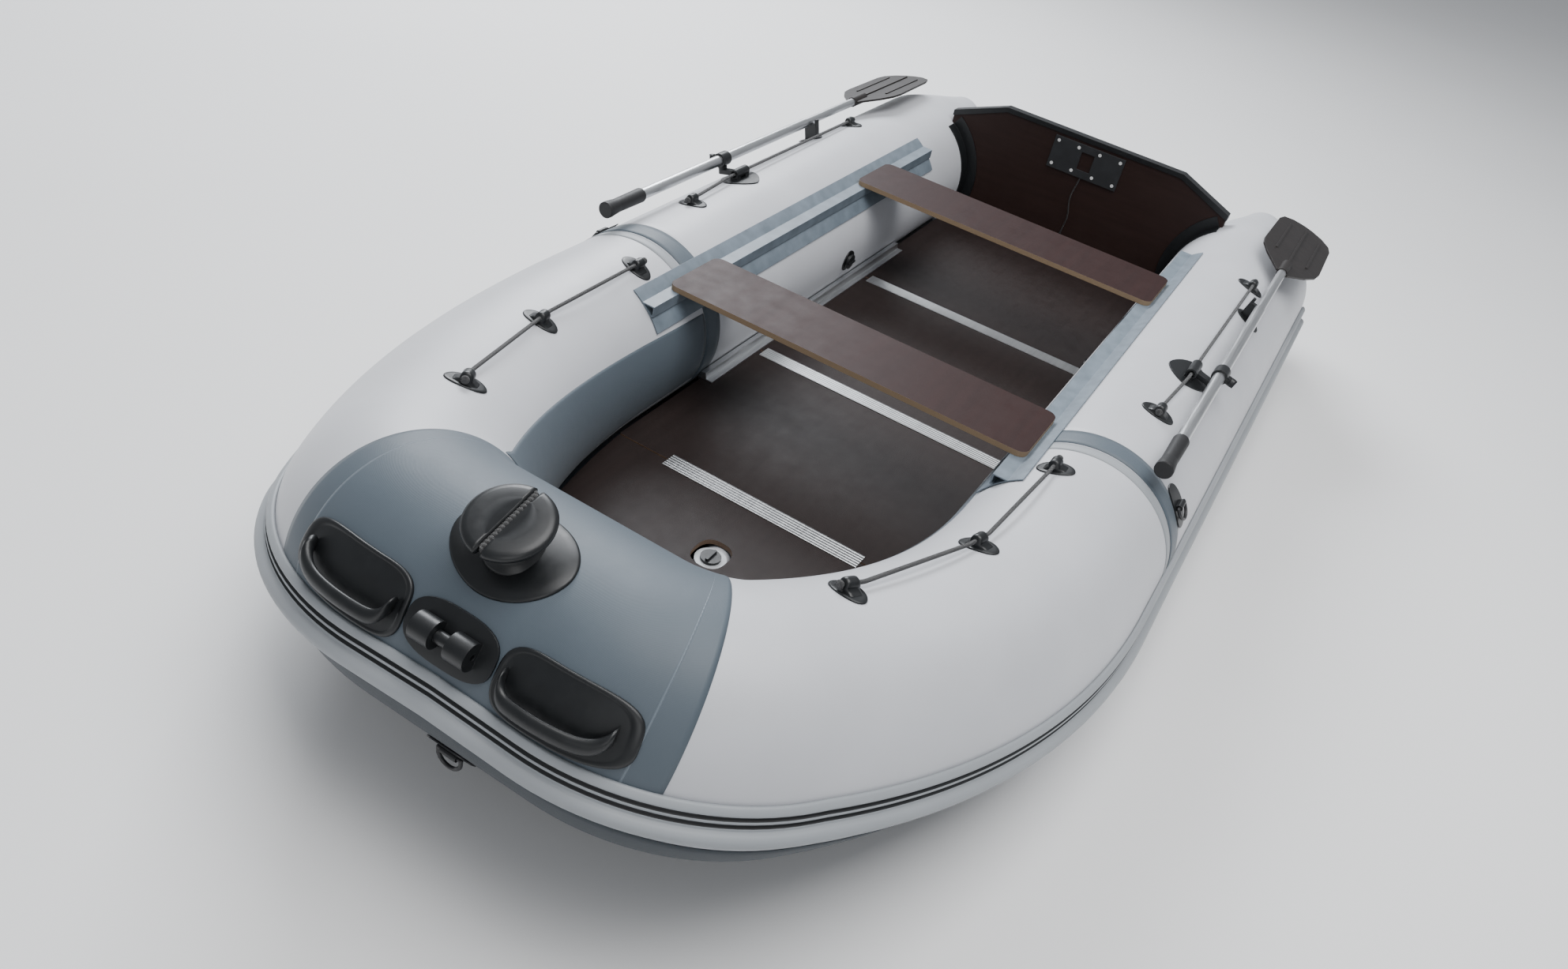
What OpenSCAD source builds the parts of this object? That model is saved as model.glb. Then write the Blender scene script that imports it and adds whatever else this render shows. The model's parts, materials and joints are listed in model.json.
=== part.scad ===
// Inflatable dinghy with a rigid plywood floor, plywood transom and two oars.
// X points to the bow, Y to port and Z up. The origin is under the middle of the boat,
// at the level of the ground that the tubes rest on.

/* [Hull] */
// Length over all
loa = 3300; // [3000:10:3700]
// Diameter of the buoyancy tubes
tube_d = 420; // [390:5:440]
// Distance between the centre lines of the two side tubes
tube_spacing = 1170; // [1120:10:1300]
// Distance from the bow's front edge to the seam between bow and side chambers
bow_chamber_len = 1355; // [1300:5:1500]
// Length of the parallel tube ahead of the seam, before the bow's bend starts
bow_straight_len = 230; // [200:5:300]
// Angle of the long bend, before the tight corner
side_bend_deg = 33; // [30:1:36]
// Centre line radius of the tight bow corner
corner_r = 232; // [225:1:245]
// How far the bow's cross tube stands above the side tubes
bow_rise = 123; // [60:1:150]
// Distance from the bow's centre line back to where the tubes start to rise
rise_len = 846; // [700:1:900]
// Thickness of the coated fabric
fabric_t = 1.2; // [0.8:0.1:1.6]
// Width of the band over each chamber seam
band_w = 60; // [40:1:80]

/* [Stern] */
// Distance from the stern's end to the transom's outer face
transom_inset = 340; // [300:5:380]
// Thickness of the transom board
transom_t = 25; // [18:1:35]
// Height of the transom's top edge
transom_h = 496; // [470:1:520]
// Width of the transom's straight top edge
transom_top_w = 604; // [500:2:640]
// Width of the transom where its bevelled corners end
transom_w = 950; // [920:2:980]
// Height of the transom's bevelled corners at their lower ends
transom_corner_h = 428; // [424:1:436]
// Diameter of the cone's end
cone_end_d = 150; // [100:2:180]
// Width of the motor pads
motor_pad_w = 240; // [200:2:280]
// Height of the motor pads
motor_pad_h = 105; // [90:1:120]
// Thickness of a motor pad
motor_pad_t = 5; // [4:0.5:8]
// Diameter of the drain hole
drain_bore_d = 24; // [20:0.5:30]

/* [Floor] */
// Height of the floor's top face
floor_h = 113.5; // [110:0.5:118]
// Thickness of the floor panels
floor_t = 12; // [9:0.5:12]
// Width of the floor panels between the stringers
floor_w = 768; // [740:2:772]
// Width of a floor joint profile
joint_w = 46; // [36:1:56]
// Diameter of the inflatable keel
keel_d = 90; // [80:1:90]

/* [Seats] */
// Height of the seats' top face
seat_h = 390; // [386:1:396]
// Length of a seat board, across the boat
seat_len = 898; // [880:2:900]
// Width of a seat board, along the boat
seat_w = 204; // [160:2:240]
// Thickness of a seat board
seat_t = 13; // [10:0.5:13]
// Front edge of the front seat
seat_front_x = 415; // [380:1:430]
// Front edge of the rear seat
seat_rear_x = -530; // [-560:1:-500]

/* [Fittings] */
// Diameter of the lifelines
rope_d = 8; // [6:0.5:9]
// Diameter of the oar shaft's thick part
shaft_d = 28; // [24:0.5:28]
// Length of an oar
oar_len = 1720; // [1600:5:1760]
// Distance from the grip's end to the oarlock
inboard_len = 515; // [460:5:530]
// Width of the oar blade
blade_w = 190; // [150:2:200]
// Oarlock's distance ahead of the boat's middle
oarlock_x = -185; // [-220:1:-160]
// Height of the oar above the tube at the oarlock
oar_lift = 46; // [46:0.5:52]
// Diameter of the mooring cleat's disc
cleat_d = 136; // [110:2:150]
// Diameter of the fairlead's roller
roller_d = 30; // [24:1:34]
// Outer size of the side rings
ring_d = 52; // [44:1:60]
// Clearance between pieces that lie on each other
gap = 0.3; // [0.2:0.05:0.4]
// Radial clearance of a running fit
run_gap = 0.05; // [0.03:0.01:0.1]

/* [Hidden] */
$fn = 64;
deg = 180 / PI;

// Radii round the tube's centre line
tube_r = tube_d / 2;
tube_y = tube_spacing / 2;
tube_z = tube_r;
skin_r = tube_r + gap;
// Sheets on the many-sided bow chamber sit a little further out, clear of its flat facets
facet_gap = 1.5;
sheet_r = tube_r + facet_gap;
over_lift = facet_gap + fabric_t + gap;
over_r = sheet_r + fabric_t + 0.9;
// Pieces that lie over a seam band on the round side tubes
band_lift = gap + fabric_t + gap;

// Strake profile, as pairs of height along the tube's wall and distance out from it
strake_proud = 28;
strake_profile = [[-14, 0], [-14, 8], [-12, 16], [-6, 22], [2, strake_proud - over_r + tube_r],
                  [9, 21], [13, 14], [14, 9], [20, 9], [20, 5], [25, 5], [25, 9], [31, 9],
                  [31, 5], [36, 5], [36, 9], [44, 7], [50, 2], [50, 0], [34, 0], [18, 0], [2, 0]];
strake_stern_deg = -8;
strake_bow_deg = 3.5;

// Plan of the bow's centre line, from the chamber seam to the middle of the bow
bow_x = loa / 2 - tube_r - strake_proud;
ring_x = loa / 2 - bow_chamber_len;
bend_x = ring_x + bow_straight_len;
side_bend_r = (bow_x - bend_x - corner_r * (1 - sin(side_bend_deg))) / sin(side_bend_deg);
corner_x = bend_x + side_bend_r * sin(side_bend_deg);
corner_y = tube_y - side_bend_r * (1 - cos(side_bend_deg));
cross_half = corner_y - corner_r * cos(side_bend_deg);
s_corner = bow_straight_len + side_bend_r * side_bend_deg / deg;
s_cross = s_corner + corner_r * (90 - side_bend_deg) / deg;
s_bow = s_cross + cross_half;
rise_x = bow_x - rise_len;

// Place and heading of the centre line at a distance s ahead of the seam
function plan(s) =
    s < bow_straight_len ? [ring_x + s, tube_y, 0]
    : s < s_corner ? let (a = (s - bow_straight_len) / side_bend_r * deg)
        [bend_x + side_bend_r * sin(a), tube_y - side_bend_r * (1 - cos(a)), a]
    : s < s_cross ? let (a = side_bend_deg + (s - s_corner) / corner_r * deg)
        [corner_x + corner_r * (sin(a) - sin(side_bend_deg)),
         corner_y - corner_r * (cos(side_bend_deg) - cos(a)), a]
    : [bow_x, s_bow - s, 90];
function ahead(x) = max(0, x - rise_x) / rise_len;
function centre(s) = let (p = plan(s)) [p.x, p.y, tube_z + bow_rise * pow(ahead(p.x), 2)];
function tangent(s) =
    let (p = plan(s), t = [cos(p.z), -sin(p.z), cos(p.z) * 2 * bow_rise * ahead(p.x) / rise_len])
    t / norm(t);
function sideways(s) = let (a = plan(s).z) [sin(a), cos(a), 0];
function outward(s, phi) = cos(phi) * sideways(s) + sin(phi) * cross(tangent(s), sideways(s));
// A point at a radius r from the centre line; phi is 0 outboard, 90 on top and 180 inboard
function on_tube(s, phi, r) = centre(s) + r * outward(s, phi);
function flipped(p) = [p.x, -p.y, p.z];
// The same, carried on past the bow's middle and down the starboard side
function round_bow(s, phi, r) =
    s <= s_bow ? on_tube(s, phi, r) : flipped(on_tube(2 * s_bow - s, phi, r));

// Stations along the bow, closer together where it bends more
side_steps = 16;
corner_steps = 9;
half_bow = concat([0], [for (i = [0:side_steps - 1])
                            bow_straight_len + i * (s_corner - bow_straight_len) / side_steps],
                  [for (i = [0:corner_steps]) s_corner + i * (s_cross - s_corner) / corner_steps]);
function other_side(stations) =
    [for (i = [len(stations) - 1:-1:0]) 2 * s_bow - stations[i]];
whole_bow = concat(half_bow, other_side(half_bow));

// Stern
stern_x = -loa / 2;
transom_x = stern_x + transom_inset;
transom_in_x = transom_x + transom_t;
cone_x = transom_x - 30;
stern_handle_reach = 16;
cone_end_x = stern_x + stern_handle_reach + gap;
cone_end_y = tube_y - 20;
cone_end_z = tube_z + 83;
pad_window_w = 44;
pad_window_h = 58;
pad_z = transom_h - 21 - motor_pad_h / 2;
rivet_d = 5;
rivet_head_d = 11;
rivet_head_t = 3;
rivet_inset = 14;
rivet_spots = [for (sx = [-1, 1]) for (dy = [rivet_inset, (motor_pad_w - pad_window_w) / 2 - rivet_inset])
                   for (sz = [-1, 1]) [sx * (motor_pad_w / 2 - dy), pad_z + sz * (motor_pad_h / 2 - rivet_inset)]];
drain_z = floor_h + 27;
drain_flange_d = 52;
drain_barrel_d = drain_bore_d + 10;
drain_flange_t = 4;

// Floor
floor_bottom = floor_h - floor_t;
panel_gap = 2;
joint_web = 3;
joint_flange_t = 2;
joint_xs = [636.5, 71.5, -541];
joint_halves = [248, 340, 338];
floor_nose_x = 1180;
nose_start_x = 960;
rivet_step = 150;
stringer_x0 = -802;
stringer_x1 = 302;
stringer_in = 32;
keel_r = keel_d / 2;
keel_z = floor_bottom - 2.5 - keel_r;
keel_front_x = 850;
keel_tip_x = 1120;
keel_tip_r = 22;
keel_tip_z = keel_z + keel_r - keel_tip_r - 2.5;
keel_valve_x = 834;
keel_valve_d = 68;
keel_barrel_d = 36;

// Seats
seat_bottom = seat_h - seat_t;
seat_corner_r = 22;
rail_x0 = -1005;
rail_x1 = 510;
rail_shelf_y = 418;
rail_t = 2.4;

// Fittings on the tubes, as distances ahead of the seam and angles round the tube
eyelet_places = [[150, 108], [545, 106.5], [930, 104], [-234, 78.3], [-1145, 72.5]];
eyelet_l = 50;
eyelet_w = 80;
eyelet_hole_h = 13;
hump_r = 12;
pad_t = 2.5;
rope_gap = 0.4;
oarlock_s = oarlock_x - ring_x;
oarlock_deg = 75.1;
oar_side = 53.8;
lobe_r = 13;
lobe_h = 17;
lobe_in = 12;
lobe_out = 30;
trunnion_r = 8.5;
trunnion_end = 22;
arm_top = 20;
swing_pin_r = 5;
swing_pin_top = 30;
collar_r = shaft_d / 2 + 5;
collar_half = 18;
screw_y = oar_side + collar_r;
shaft_thin_d = shaft_d - 4;
shaft_step_x = oarlock_x - 455;
grip_len = 143;
grip_d = shaft_d + 8;
blade_len = 430;
clip_s = oarlock_s - 484;
ring_place = [-48, 36];
tow_deg = -38;
ring_bar_d = 7;
ring_lift = 9.5;
handle_s = 1285;
handle_deg = 32;
handle_half = 78;
handle_half_deg = 15;
fairlead_deg = 33;
cleat_deg = 75;
valve_place = [-726, 184];
valve_flange_d = 62;
valve_barrel_d = 38;
valve_bore_d = 26;
cap_d = 44;

pvc = "#d8dade";
slate = "#5c6b75";
dark = "#2b2d2f";

// ---- Shape helpers ----

// A closed solid through a list of rings that all have the same number of points
module loft(rings) {
    n = len(rings[0]);
    last = (len(rings) - 1) * n;
    polyhedron(
        points = [for (ring = rings) each ring],
        faces = concat(
            [[for (j = [0:n - 1]) j]],
            [[for (j = [n - 1:-1:0]) last + j]],
            [for (i = [0:len(rings) - 2]) for (j = [0:n - 1])
                let (a = i * n + j, b = i * n + (j + 1) % n) each [[a, a + n, b + n], [a, b + n, b]]]));
}

// A closed sheet between an inner and an outer grid of points
module sheet(inner, outer) {
    rows = len(inner);
    cols = len(inner[0]);
    under = rows * cols;
    function at(i, j) = i * cols + j;
    function tile(a, b, c, d) = [[a, b, c], [a, c, d]];
    polyhedron(
        points = concat([for (row = outer) each row], [for (row = inner) each row]),
        faces = concat(
            [for (i = [0:rows - 2]) for (j = [0:cols - 2])
                each tile(at(i, j), at(i + 1, j), at(i + 1, j + 1), at(i, j + 1))],
            [for (i = [0:rows - 2]) for (j = [0:cols - 2])
                each tile(under + at(i, j), under + at(i, j + 1), under + at(i + 1, j + 1),
                          under + at(i + 1, j))],
            [for (i = [0:rows - 2])
                each tile(at(i, 0), under + at(i, 0), under + at(i + 1, 0), at(i + 1, 0))],
            [for (i = [0:rows - 2])
                each tile(at(i + 1, cols - 1), under + at(i + 1, cols - 1), under + at(i, cols - 1),
                          at(i, cols - 1))],
            [for (j = [0:cols - 2])
                each tile(at(0, j + 1), under + at(0, j + 1), under + at(0, j), at(0, j))],
            [for (j = [0:cols - 2])
                each tile(at(rows - 1, j), under + at(rows - 1, j), under + at(rows - 1, j + 1),
                          at(rows - 1, j + 1))]));
}

// Points of an oval; power 2 is an ellipse, more is squarer and less is nearer a diamond
function oval(a, b, power = 2, n = 36) =
    [for (i = [0:n - 1]) let (t = i * 360 / n)
        [a * sign(cos(t)) * pow(abs(cos(t)), 2 / power), b * sign(sin(t)) * pow(abs(sin(t)), 2 / power)]];

module both_sides() {
    children();
    mirror([0, 1, 0]) children();
}

// Extrudes a shape drawn across the boat, in Y and Z, along X
module along_x(x0, x1) {
    translate([x0, 0, 0]) rotate([90, 0, 90]) linear_extrude(x1 - x0) children();
}

module x_rod(r, x0, x1) {
    translate([x0, 0, 0]) rotate([0, 90, 0]) cylinder(r = r, h = x1 - x0);
}

module y_rod(r, y0, y1) {
    translate([0, y0, 0]) rotate([-90, 0, 0]) cylinder(r = r, h = y1 - y0);
}

// Places children at a fitting's place: X along the tube, Z out of it, origin on its centre line
module at_tube(s, phi) {
    t = tangent(s);
    r = outward(s, phi);
    q = cross(r, t);
    c = centre(s);
    multmatrix([[t.x, q.x, r.x, c.x], [t.y, q.y, r.y, c.y], [t.z, q.z, r.z, c.z], [0, 0, 0, 1]])
        children();
}

// A moulded pad that follows the tube's wall, cut from an outline
module wall_pad(points, t, lift = gap) {
    intersection() {
        translate([0, 0, tube_r / 2]) linear_extrude(tube_r) polygon(points);
        difference() {
            x_rod(tube_r + lift + t, -loa / 8, loa / 8);
            x_rod(tube_r + lift, -loa / 8 - 1, loa / 8 + 1);
        }
    }
}

module rounded_board(x0, x1, half, z0, z1, r) {
    translate([x0 + r, -half, z0]) cube([x1 - x0 - 2 * r, 2 * half, z1 - z0]);
    translate([x0, r - half, z0]) cube([x1 - x0, 2 * (half - r), z1 - z0]);
    for (x = [x0 + r, x1 - r]) for (y = [r - half, half - r])
        translate([x, y, z0]) cylinder(r = r, h = z1 - z0);
}

// A round tube swept along a list of points
function unit(v) = v / norm(v);
function heading(path, i) = unit(path[min(i + 1, len(path) - 1)] - path[max(i - 1, 0)]);
function round_ring(path, i, r, n) =
    let (t = heading(path, i), u = unit(cross(t, [0.3, 0.2, 1])), v = cross(t, u))
    [for (j = [0:n - 1]) path[i] + r * (cos(j * 360 / n) * u + sin(j * 360 / n) * v)];
module rod_along(path, radii, n = 8) {
    loft([for (i = [0:len(path) - 1]) round_ring(path, i, radii[i], n)]);
}

// ---- Buoyancy tubes and skins ----

module tube_bow() {
    sides = 40;
    color(pvc)
        loft([for (s = whole_bow)
            [for (j = [0:sides - 1]) round_bow(s == 0 ? fabric_t / 2 : s == 2 * s_bow
                ? s - fabric_t / 2 : s, j * 360 / sides, tube_r)]]);
}

module side_tube() {
    difference() {
        union() {
            translate([0, tube_y, tube_z]) x_rod(tube_r, cone_x, ring_x - fabric_t / 2);
            hull() {
                translate([0, tube_y, tube_z]) x_rod(tube_r, cone_x, cone_x + 1);
                translate([0, cone_end_y, cone_end_z]) x_rod(cone_end_d / 2, cone_end_x, cone_end_x + 1);
            }
        }
        at_tube(valve_place[0], valve_place[1])
            translate([0, 0, tube_r - 30]) cylinder(d = valve_barrel_d + 2 * gap, h = 40);
    }
}

module tube_port() {
    color(pvc) side_tube();
}

module tube_starboard() {
    color(pvc) mirror([0, 1, 0]) side_tube();
}

module bulkheads() {
    color("#c9ccd0") both_sides()
        translate([0, tube_y, tube_z]) x_rod(tube_r, ring_x - fabric_t / 2, ring_x + fabric_t / 2);
}

module seam_bands() {
    // The band leaves out the bottom of the tube, which lies on the ground
    color(slate) both_sides() translate([ring_x - band_w / 2, tube_y, tube_z])
        rotate([90, 0, 90]) rotate([0, 0, -70]) rotate_extrude(angle = 298, $fn = 96)
            translate([skin_r, 0]) square([fabric_t, band_w]);
}

// A sheet on the bow chamber between two angles; s0 and s1 are functions of the angle
module bow_wrap() {
    steps = 18;
    low = -4;
    high = 196;
    function edge(phi) = s_bow - 261 - 0.25 * phi;
    function place(i, phi) = edge(phi) + i / steps * 2 * (s_bow - edge(phi));
    function grid(r) = [for (phi = [low:8:high]) [for (i = [0:steps]) round_bow(place(i, phi), phi, r)]];
    color(slate) sheet(grid(sheet_r), grid(sheet_r + fabric_t));
}

module inner_guards() {
    steps = 20;
    rows = 8;
    low = 204;
    s0 = band_w / 2 + 2;
    s1 = 1120;
    function top_deg(s) = 154 - 16 * pow((s - s0) / (s1 - s0), 1.4);
    function station(i) = s0 + i * (s1 - s0) / steps;
    function grid(r) = [for (j = [0:rows]) [for (i = [0:steps]) let (s = station(i))
        on_tube(s, top_deg(s) + (low - top_deg(s)) * j / rows, r)]];
    color(slate) both_sides() sheet(grid(sheet_r), grid(sheet_r + fabric_t));
}

module rub_strake() {
    side_stations = [cone_x - ring_x, -20];
    s_list = concat(side_stations, half_bow);
    stations = concat(s_list, other_side(s_list));
    function base_deg(s) = strake_stern_deg
        + (strake_bow_deg - strake_stern_deg) * max(0, min(s, 2 * s_bow - s)) / s_bow;
    color("#b9bfc4")
        loft([for (s = stations)
            [for (p = strake_profile) round_bow(s, base_deg(s) + p[0] / tube_r * deg, over_r + p[1])]]);
}

// Height of the bottom fabric's upper face along the keel line
keel_line_tip = keel_tip_z - keel_tip_r;
keel_line_low = keel_z - keel_r;
attach_deg = -125;
keel_room = 0.8;
// The skin starts to rise a little ahead of the keel's taper, so the two never touch
skin_lag = 30;
// The apron starts where the rising tube lifts it clear of the ground
apron_start = 420;
function keel_line(x, end_x, end_z) =
    let (f = (x - skin_lag - keel_front_x) / (keel_tip_x - keel_front_x))
    f < 0 ? keel_line_low
    : f < 1 ? keel_line_low + (keel_line_tip - keel_line_low) * f
    : keel_line_tip + (end_z - keel_line_tip)
        * pow((x - keel_tip_x - skin_lag) / (end_x - keel_tip_x - skin_lag), 1.5);

module hull_skin() {
    cols = 6;
    stations = concat([transom_x - ring_x - 10, -600], half_bow, [s_bow - 40]);
    tip = on_tube(s_bow, attach_deg, skin_r);
    function bottom_point(s, j, drop) =
        let (a = on_tube(s, attach_deg, skin_r + drop), f = j / cols,
             k = keel_line(a.x, tip.x, tip.z) - keel_room - drop)
        [a.x, a.y * f, k + (a.z - k) * f * f];
    function bottom(drop) = [for (s = stations) [for (j = [-cols:cols])
        let (p = bottom_point(s, abs(j), drop)) [p.x, sign(j) * p.y, p.z]]];
    apron_rows = 11;
    function apron_top(s) = strake_bow_deg - 10 - 70 * pow(1 - min(s, 2 * s_bow - s) / s_bow, 1.5);
    apron_half = [for (s = half_bow) if (s > apron_start) s];
    apron_whole = concat(apron_half, other_side(apron_half));
    function apron(r) = [for (j = [0:apron_rows]) [for (s = apron_whole)
        round_bow(s, apron_top(s) + (attach_deg + 4 - apron_top(s)) * j / apron_rows, r)]];
    color("#3f4a54") {
        sheet(bottom(0), bottom(fabric_t));
        sheet(apron(sheet_r), apron(sheet_r + fabric_t));
    }
}

module keel_tube() {
    color("#c9ccd0") difference() {
        union() {
            translate([0, 0, keel_z]) x_rod(keel_r, transom_in_x + 12, keel_front_x);
            hull() {
                translate([0, 0, keel_z]) x_rod(keel_r, keel_front_x - 1, keel_front_x);
                translate([0, 0, keel_tip_z]) x_rod(keel_tip_r, keel_tip_x - 1, keel_tip_x);
            }
        }
        translate([keel_valve_x, 0, keel_z + keel_r - 22]) cylinder(d = keel_barrel_d + 2 * gap, h = 60);
        translate([keel_valve_x, 0, keel_z + keel_r - 2]) cylinder(d = keel_valve_d + 2 * gap, h = 60);
    }
}

// ---- Floor ----

// Half width that the tubes leave at a height, ahead of the seam
function free_half(s) = let (c = centre(s), dz = c.z - floor_h, d = sqrt(max(0, tube_r * tube_r - dz * dz)))
    c - (d + 12) * sideways(s);
nose_half = 330;

module floor_panel(x0, x1) {
    rounded_board(x0 + panel_gap, x1 - panel_gap, floor_w / 2, floor_bottom, floor_h, 4);
}

module floor_bow() {
    x0 = joint_xs[0] + panel_gap;
    steps = 18;
    // The edge follows the tubes, then closes in a round nose
    side = [for (s = [40:30:s_corner]) let (p = free_half(s))
        if (p.x > x0 + 4 && p.x < nose_start_x - 4) [p.x, p.y]];
    half = side[len(side) - 1].y;
    nose = [for (i = [0:steps]) let (a = 90 * i / steps)
        [nose_start_x + (floor_nose_x - nose_start_x) * sin(a), half * pow(cos(a), 0.75)]];
    edge = concat([[x0, side[0].y]], side, nose);
    color("#4a3b36") difference() {
        translate([0, 0, floor_bottom]) linear_extrude(floor_t)
            polygon(concat(edge, [for (i = [len(edge) - 2:-1:0]) [edge[i].x, -edge[i].y]]));
        translate([keel_valve_x, 0, floor_bottom - 1]) linear_extrude(floor_t + 2)
            polygon(oval(44, 38, 2.6));
    }
}

module floor_front() {
    color("#4a3b36") floor_panel(joint_xs[1], joint_xs[0]);
}

module floor_middle() {
    color("#4a3b36") floor_panel(joint_xs[2], joint_xs[1]);
}

module floor_rear() {
    color("#4a3b36") floor_panel(transom_in_x + panel_gap, joint_xs[2]);
}

module floor_joints() {
    color("silver") for (i = [0:2]) translate([joint_xs[i], 0, 0]) difference() {
        union() {
            translate([-joint_w / 2, -joint_halves[i], floor_h]) cube([joint_w, 2 * joint_halves[i], joint_flange_t]);
            translate([-joint_w / 2, -joint_halves[i], floor_bottom - joint_flange_t])
                cube([joint_w, 2 * joint_halves[i], joint_flange_t]);
            translate([-joint_web / 2, -joint_halves[i], floor_bottom - 1])
                cube([joint_web, 2 * joint_halves[i], floor_t + 2]);
        }
    }
}

module floor_stringers() {
    half = floor_w / 2;
    wall = half + 4;
    color("silver") both_sides() along_x(stringer_x0, stringer_x1) {
        polygon([[half - stringer_in, floor_h], [wall + 3, floor_h], [wall + 3, floor_h + 4],
                 [wall - 2, floor_h + 19], [wall - 15, floor_h + 19], [wall - 19, floor_h + 3],
                 [half - stringer_in, floor_h + 3]]);
        translate([wall, floor_bottom - 3]) square([3, floor_t + 4]);
        translate([half - stringer_in, floor_bottom - 3]) square([wall + 3 - half + stringer_in, 3]);
    }
}

// ---- Transom ----

module transom_outline(grow = 0) {
    polygon([[-transom_top_w / 2 - grow / 2, transom_h + grow], [-transom_w / 2 - grow, transom_corner_h + grow / 2],
             [-transom_w / 2 - grow, tube_z + 90], [-380, 110], [-400, 60], [-440, 36], [0, keel_line_low + 5],
             [440, 36], [400, 60], [380, 110], [transom_w / 2 + grow, tube_z + 90],
             [transom_w / 2 + grow, transom_corner_h + grow / 2], [transom_top_w / 2 + grow / 2, transom_h + grow]]);
}

module transom_board() {
    color("#3d2a24") difference() {
        along_x(transom_x, transom_in_x) transom_outline();
        both_sides() translate([0, tube_y, tube_z]) x_rod(tube_r + 2 * gap, transom_x - 1, transom_in_x + 1);
        translate([0, 0, drain_z]) x_rod(drain_barrel_d / 2 + gap, transom_x - 1, transom_in_x + 1);
        for (p = rivet_spots) translate([0, p.x, p.y]) x_rod(rivet_d / 2 + gap, transom_x - 1, transom_in_x + 1);
    }
}

module transom_trim() {
    wall = 3;
    color(dark) difference() {
        along_x(transom_x - wall, transom_in_x + wall) difference() {
            transom_outline(wall);
            polygon([[-transom_w, -1], [-transom_w, transom_corner_h - 26], [-transom_w / 2, transom_corner_h - 16],
                     [-transom_top_w / 2 + 4, transom_h - 12], [transom_top_w / 2 - 4, transom_h - 12],
                     [transom_w / 2, transom_corner_h - 16], [transom_w, transom_corner_h - 26], [transom_w, -1]]);
        }
        along_x(transom_x - gap, transom_in_x + gap) transom_outline(gap);
    }
}

module flange(x, dir) {
    wide = 38;
    t = 3;
    translate([x, tube_y, tube_z]) rotate([90, 0, 90]) rotate([0, 0, 124]) rotate_extrude(angle = 90)
        polygon([[skin_r, 0], [skin_r + wide, 0], [skin_r + wide, dir * t], [skin_r + t, dir * t],
                 [skin_r + t, dir * 45], [skin_r, dir * 45]]);
}

module transom_flanges() {
    color("#3b4046") both_sides() {
        flange(transom_in_x, 1);
        flange(transom_x, -1);
    }
}

module motor_pad(x, head_x) {
    difference() {
        translate([x, -motor_pad_w / 2, pad_z - motor_pad_h / 2]) cube([motor_pad_t, motor_pad_w, motor_pad_h]);
        translate([x - 1, -pad_window_w / 2, pad_z - pad_window_h / 2])
            cube([motor_pad_t + 2, pad_window_w, pad_window_h]);
        // Rivet shanks pass through, and their heads sink into the pad's free face
        for (p = rivet_spots) translate([0, p.x, p.y]) {
            x_rod(rivet_d / 2 + gap, x - 1, x + motor_pad_t + 1);
            x_rod(rivet_head_d / 2 + gap, x + head_x, x + head_x + motor_pad_t);
        }
    }
}

module motor_pad_inner() {
    color(dark) motor_pad(transom_in_x, motor_pad_t - rivet_head_t - gap);
}

module motor_pad_outer() {
    color(dark) motor_pad(transom_x - motor_pad_t, rivet_head_t + gap - motor_pad_t);
}

module rivets() {
    color("#e6e6e6") for (p = rivet_spots) translate([0, p.x, p.y]) {
        x_rod(rivet_d / 2, transom_x - motor_pad_t + gap, transom_in_x + motor_pad_t - gap);
        x_rod(rivet_head_d / 2, transom_in_x + motor_pad_t - rivet_head_t, transom_in_x + motor_pad_t - gap);
        x_rod(rivet_head_d / 2, transom_x - motor_pad_t + gap, transom_x - motor_pad_t + rivet_head_t);
    }
}

module drain_socket() {
    color(dark) translate([0, 0, drain_z]) difference() {
        union() {
            x_rod(drain_barrel_d / 2, transom_x - 12, transom_in_x + 1);
            x_rod(drain_flange_d / 2, transom_in_x, transom_in_x + drain_flange_t);
            translate([transom_in_x, -4, drain_flange_d / 2 - 4]) cube([drain_flange_t, 8, 12]);
        }
        x_rod(drain_bore_d / 2, transom_x - 13, transom_in_x + drain_flange_t + 1);
    }
}

module drain_plug() {
    color("#1d1f20") translate([0, 0, drain_z]) {
        x_rod(drain_bore_d / 2 - run_gap, transom_in_x - 8, transom_in_x + drain_flange_t);
        x_rod(drain_bore_d / 2 + 5, transom_in_x + drain_flange_t + gap, transom_in_x + drain_flange_t + 6);
        x_rod(drain_bore_d / 2 - 4, transom_in_x, transom_in_x + drain_flange_t + 14);
    }
}

// The plug's leash hangs from the inner pad's lower bar to the socket's lug
cord_d = 4;
cord_low_z = drain_z + drain_flange_d / 2 + 8 + gap;
cord_high_z = pad_z - motor_pad_h / 2 - gap;
cord_x = transom_in_x + cord_d / 2 + 1;
cord_path = [for (f = [0:0.1:1]) [cord_x + 14 * pow(sin(180 * f), 2),
                                  9 * sin(360 * f) * sin(180 * f),
                                  cord_low_z + (cord_high_z - cord_low_z) * f]];

module drain_cord() {
    color(dark) rod_along(cord_path, [for (p = cord_path) cord_d / 2]);
}

// ---- Seats ----

module seat_rails() {
    base = tube_r + band_lift;
    r = base + rail_t;
    color("#8796a3") both_sides() along_x(rail_x0, rail_x1) {
        intersection() {
            translate([tube_y, tube_z]) difference() {
                circle(r = r, $fn = 128);
                circle(r = base, $fn = 128);
            }
            translate([tube_y, tube_z]) polygon([[0, 0], [2 * r * cos(120), 2 * r * sin(120)],
                                                 [2 * r * cos(150), 2 * r * sin(150)]]);
        }
        difference() {
            translate([rail_shelf_y, seat_bottom - gap - 3]) square([60, 3]);
            translate([tube_y, tube_z]) circle(r = base + rail_t / 2, $fn = 128);
        }
        translate([rail_shelf_y, seat_bottom - 26]) square([3, 25]);
        translate([rail_shelf_y, seat_bottom - 26]) square([7, 2.5]);
    }
}

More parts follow.
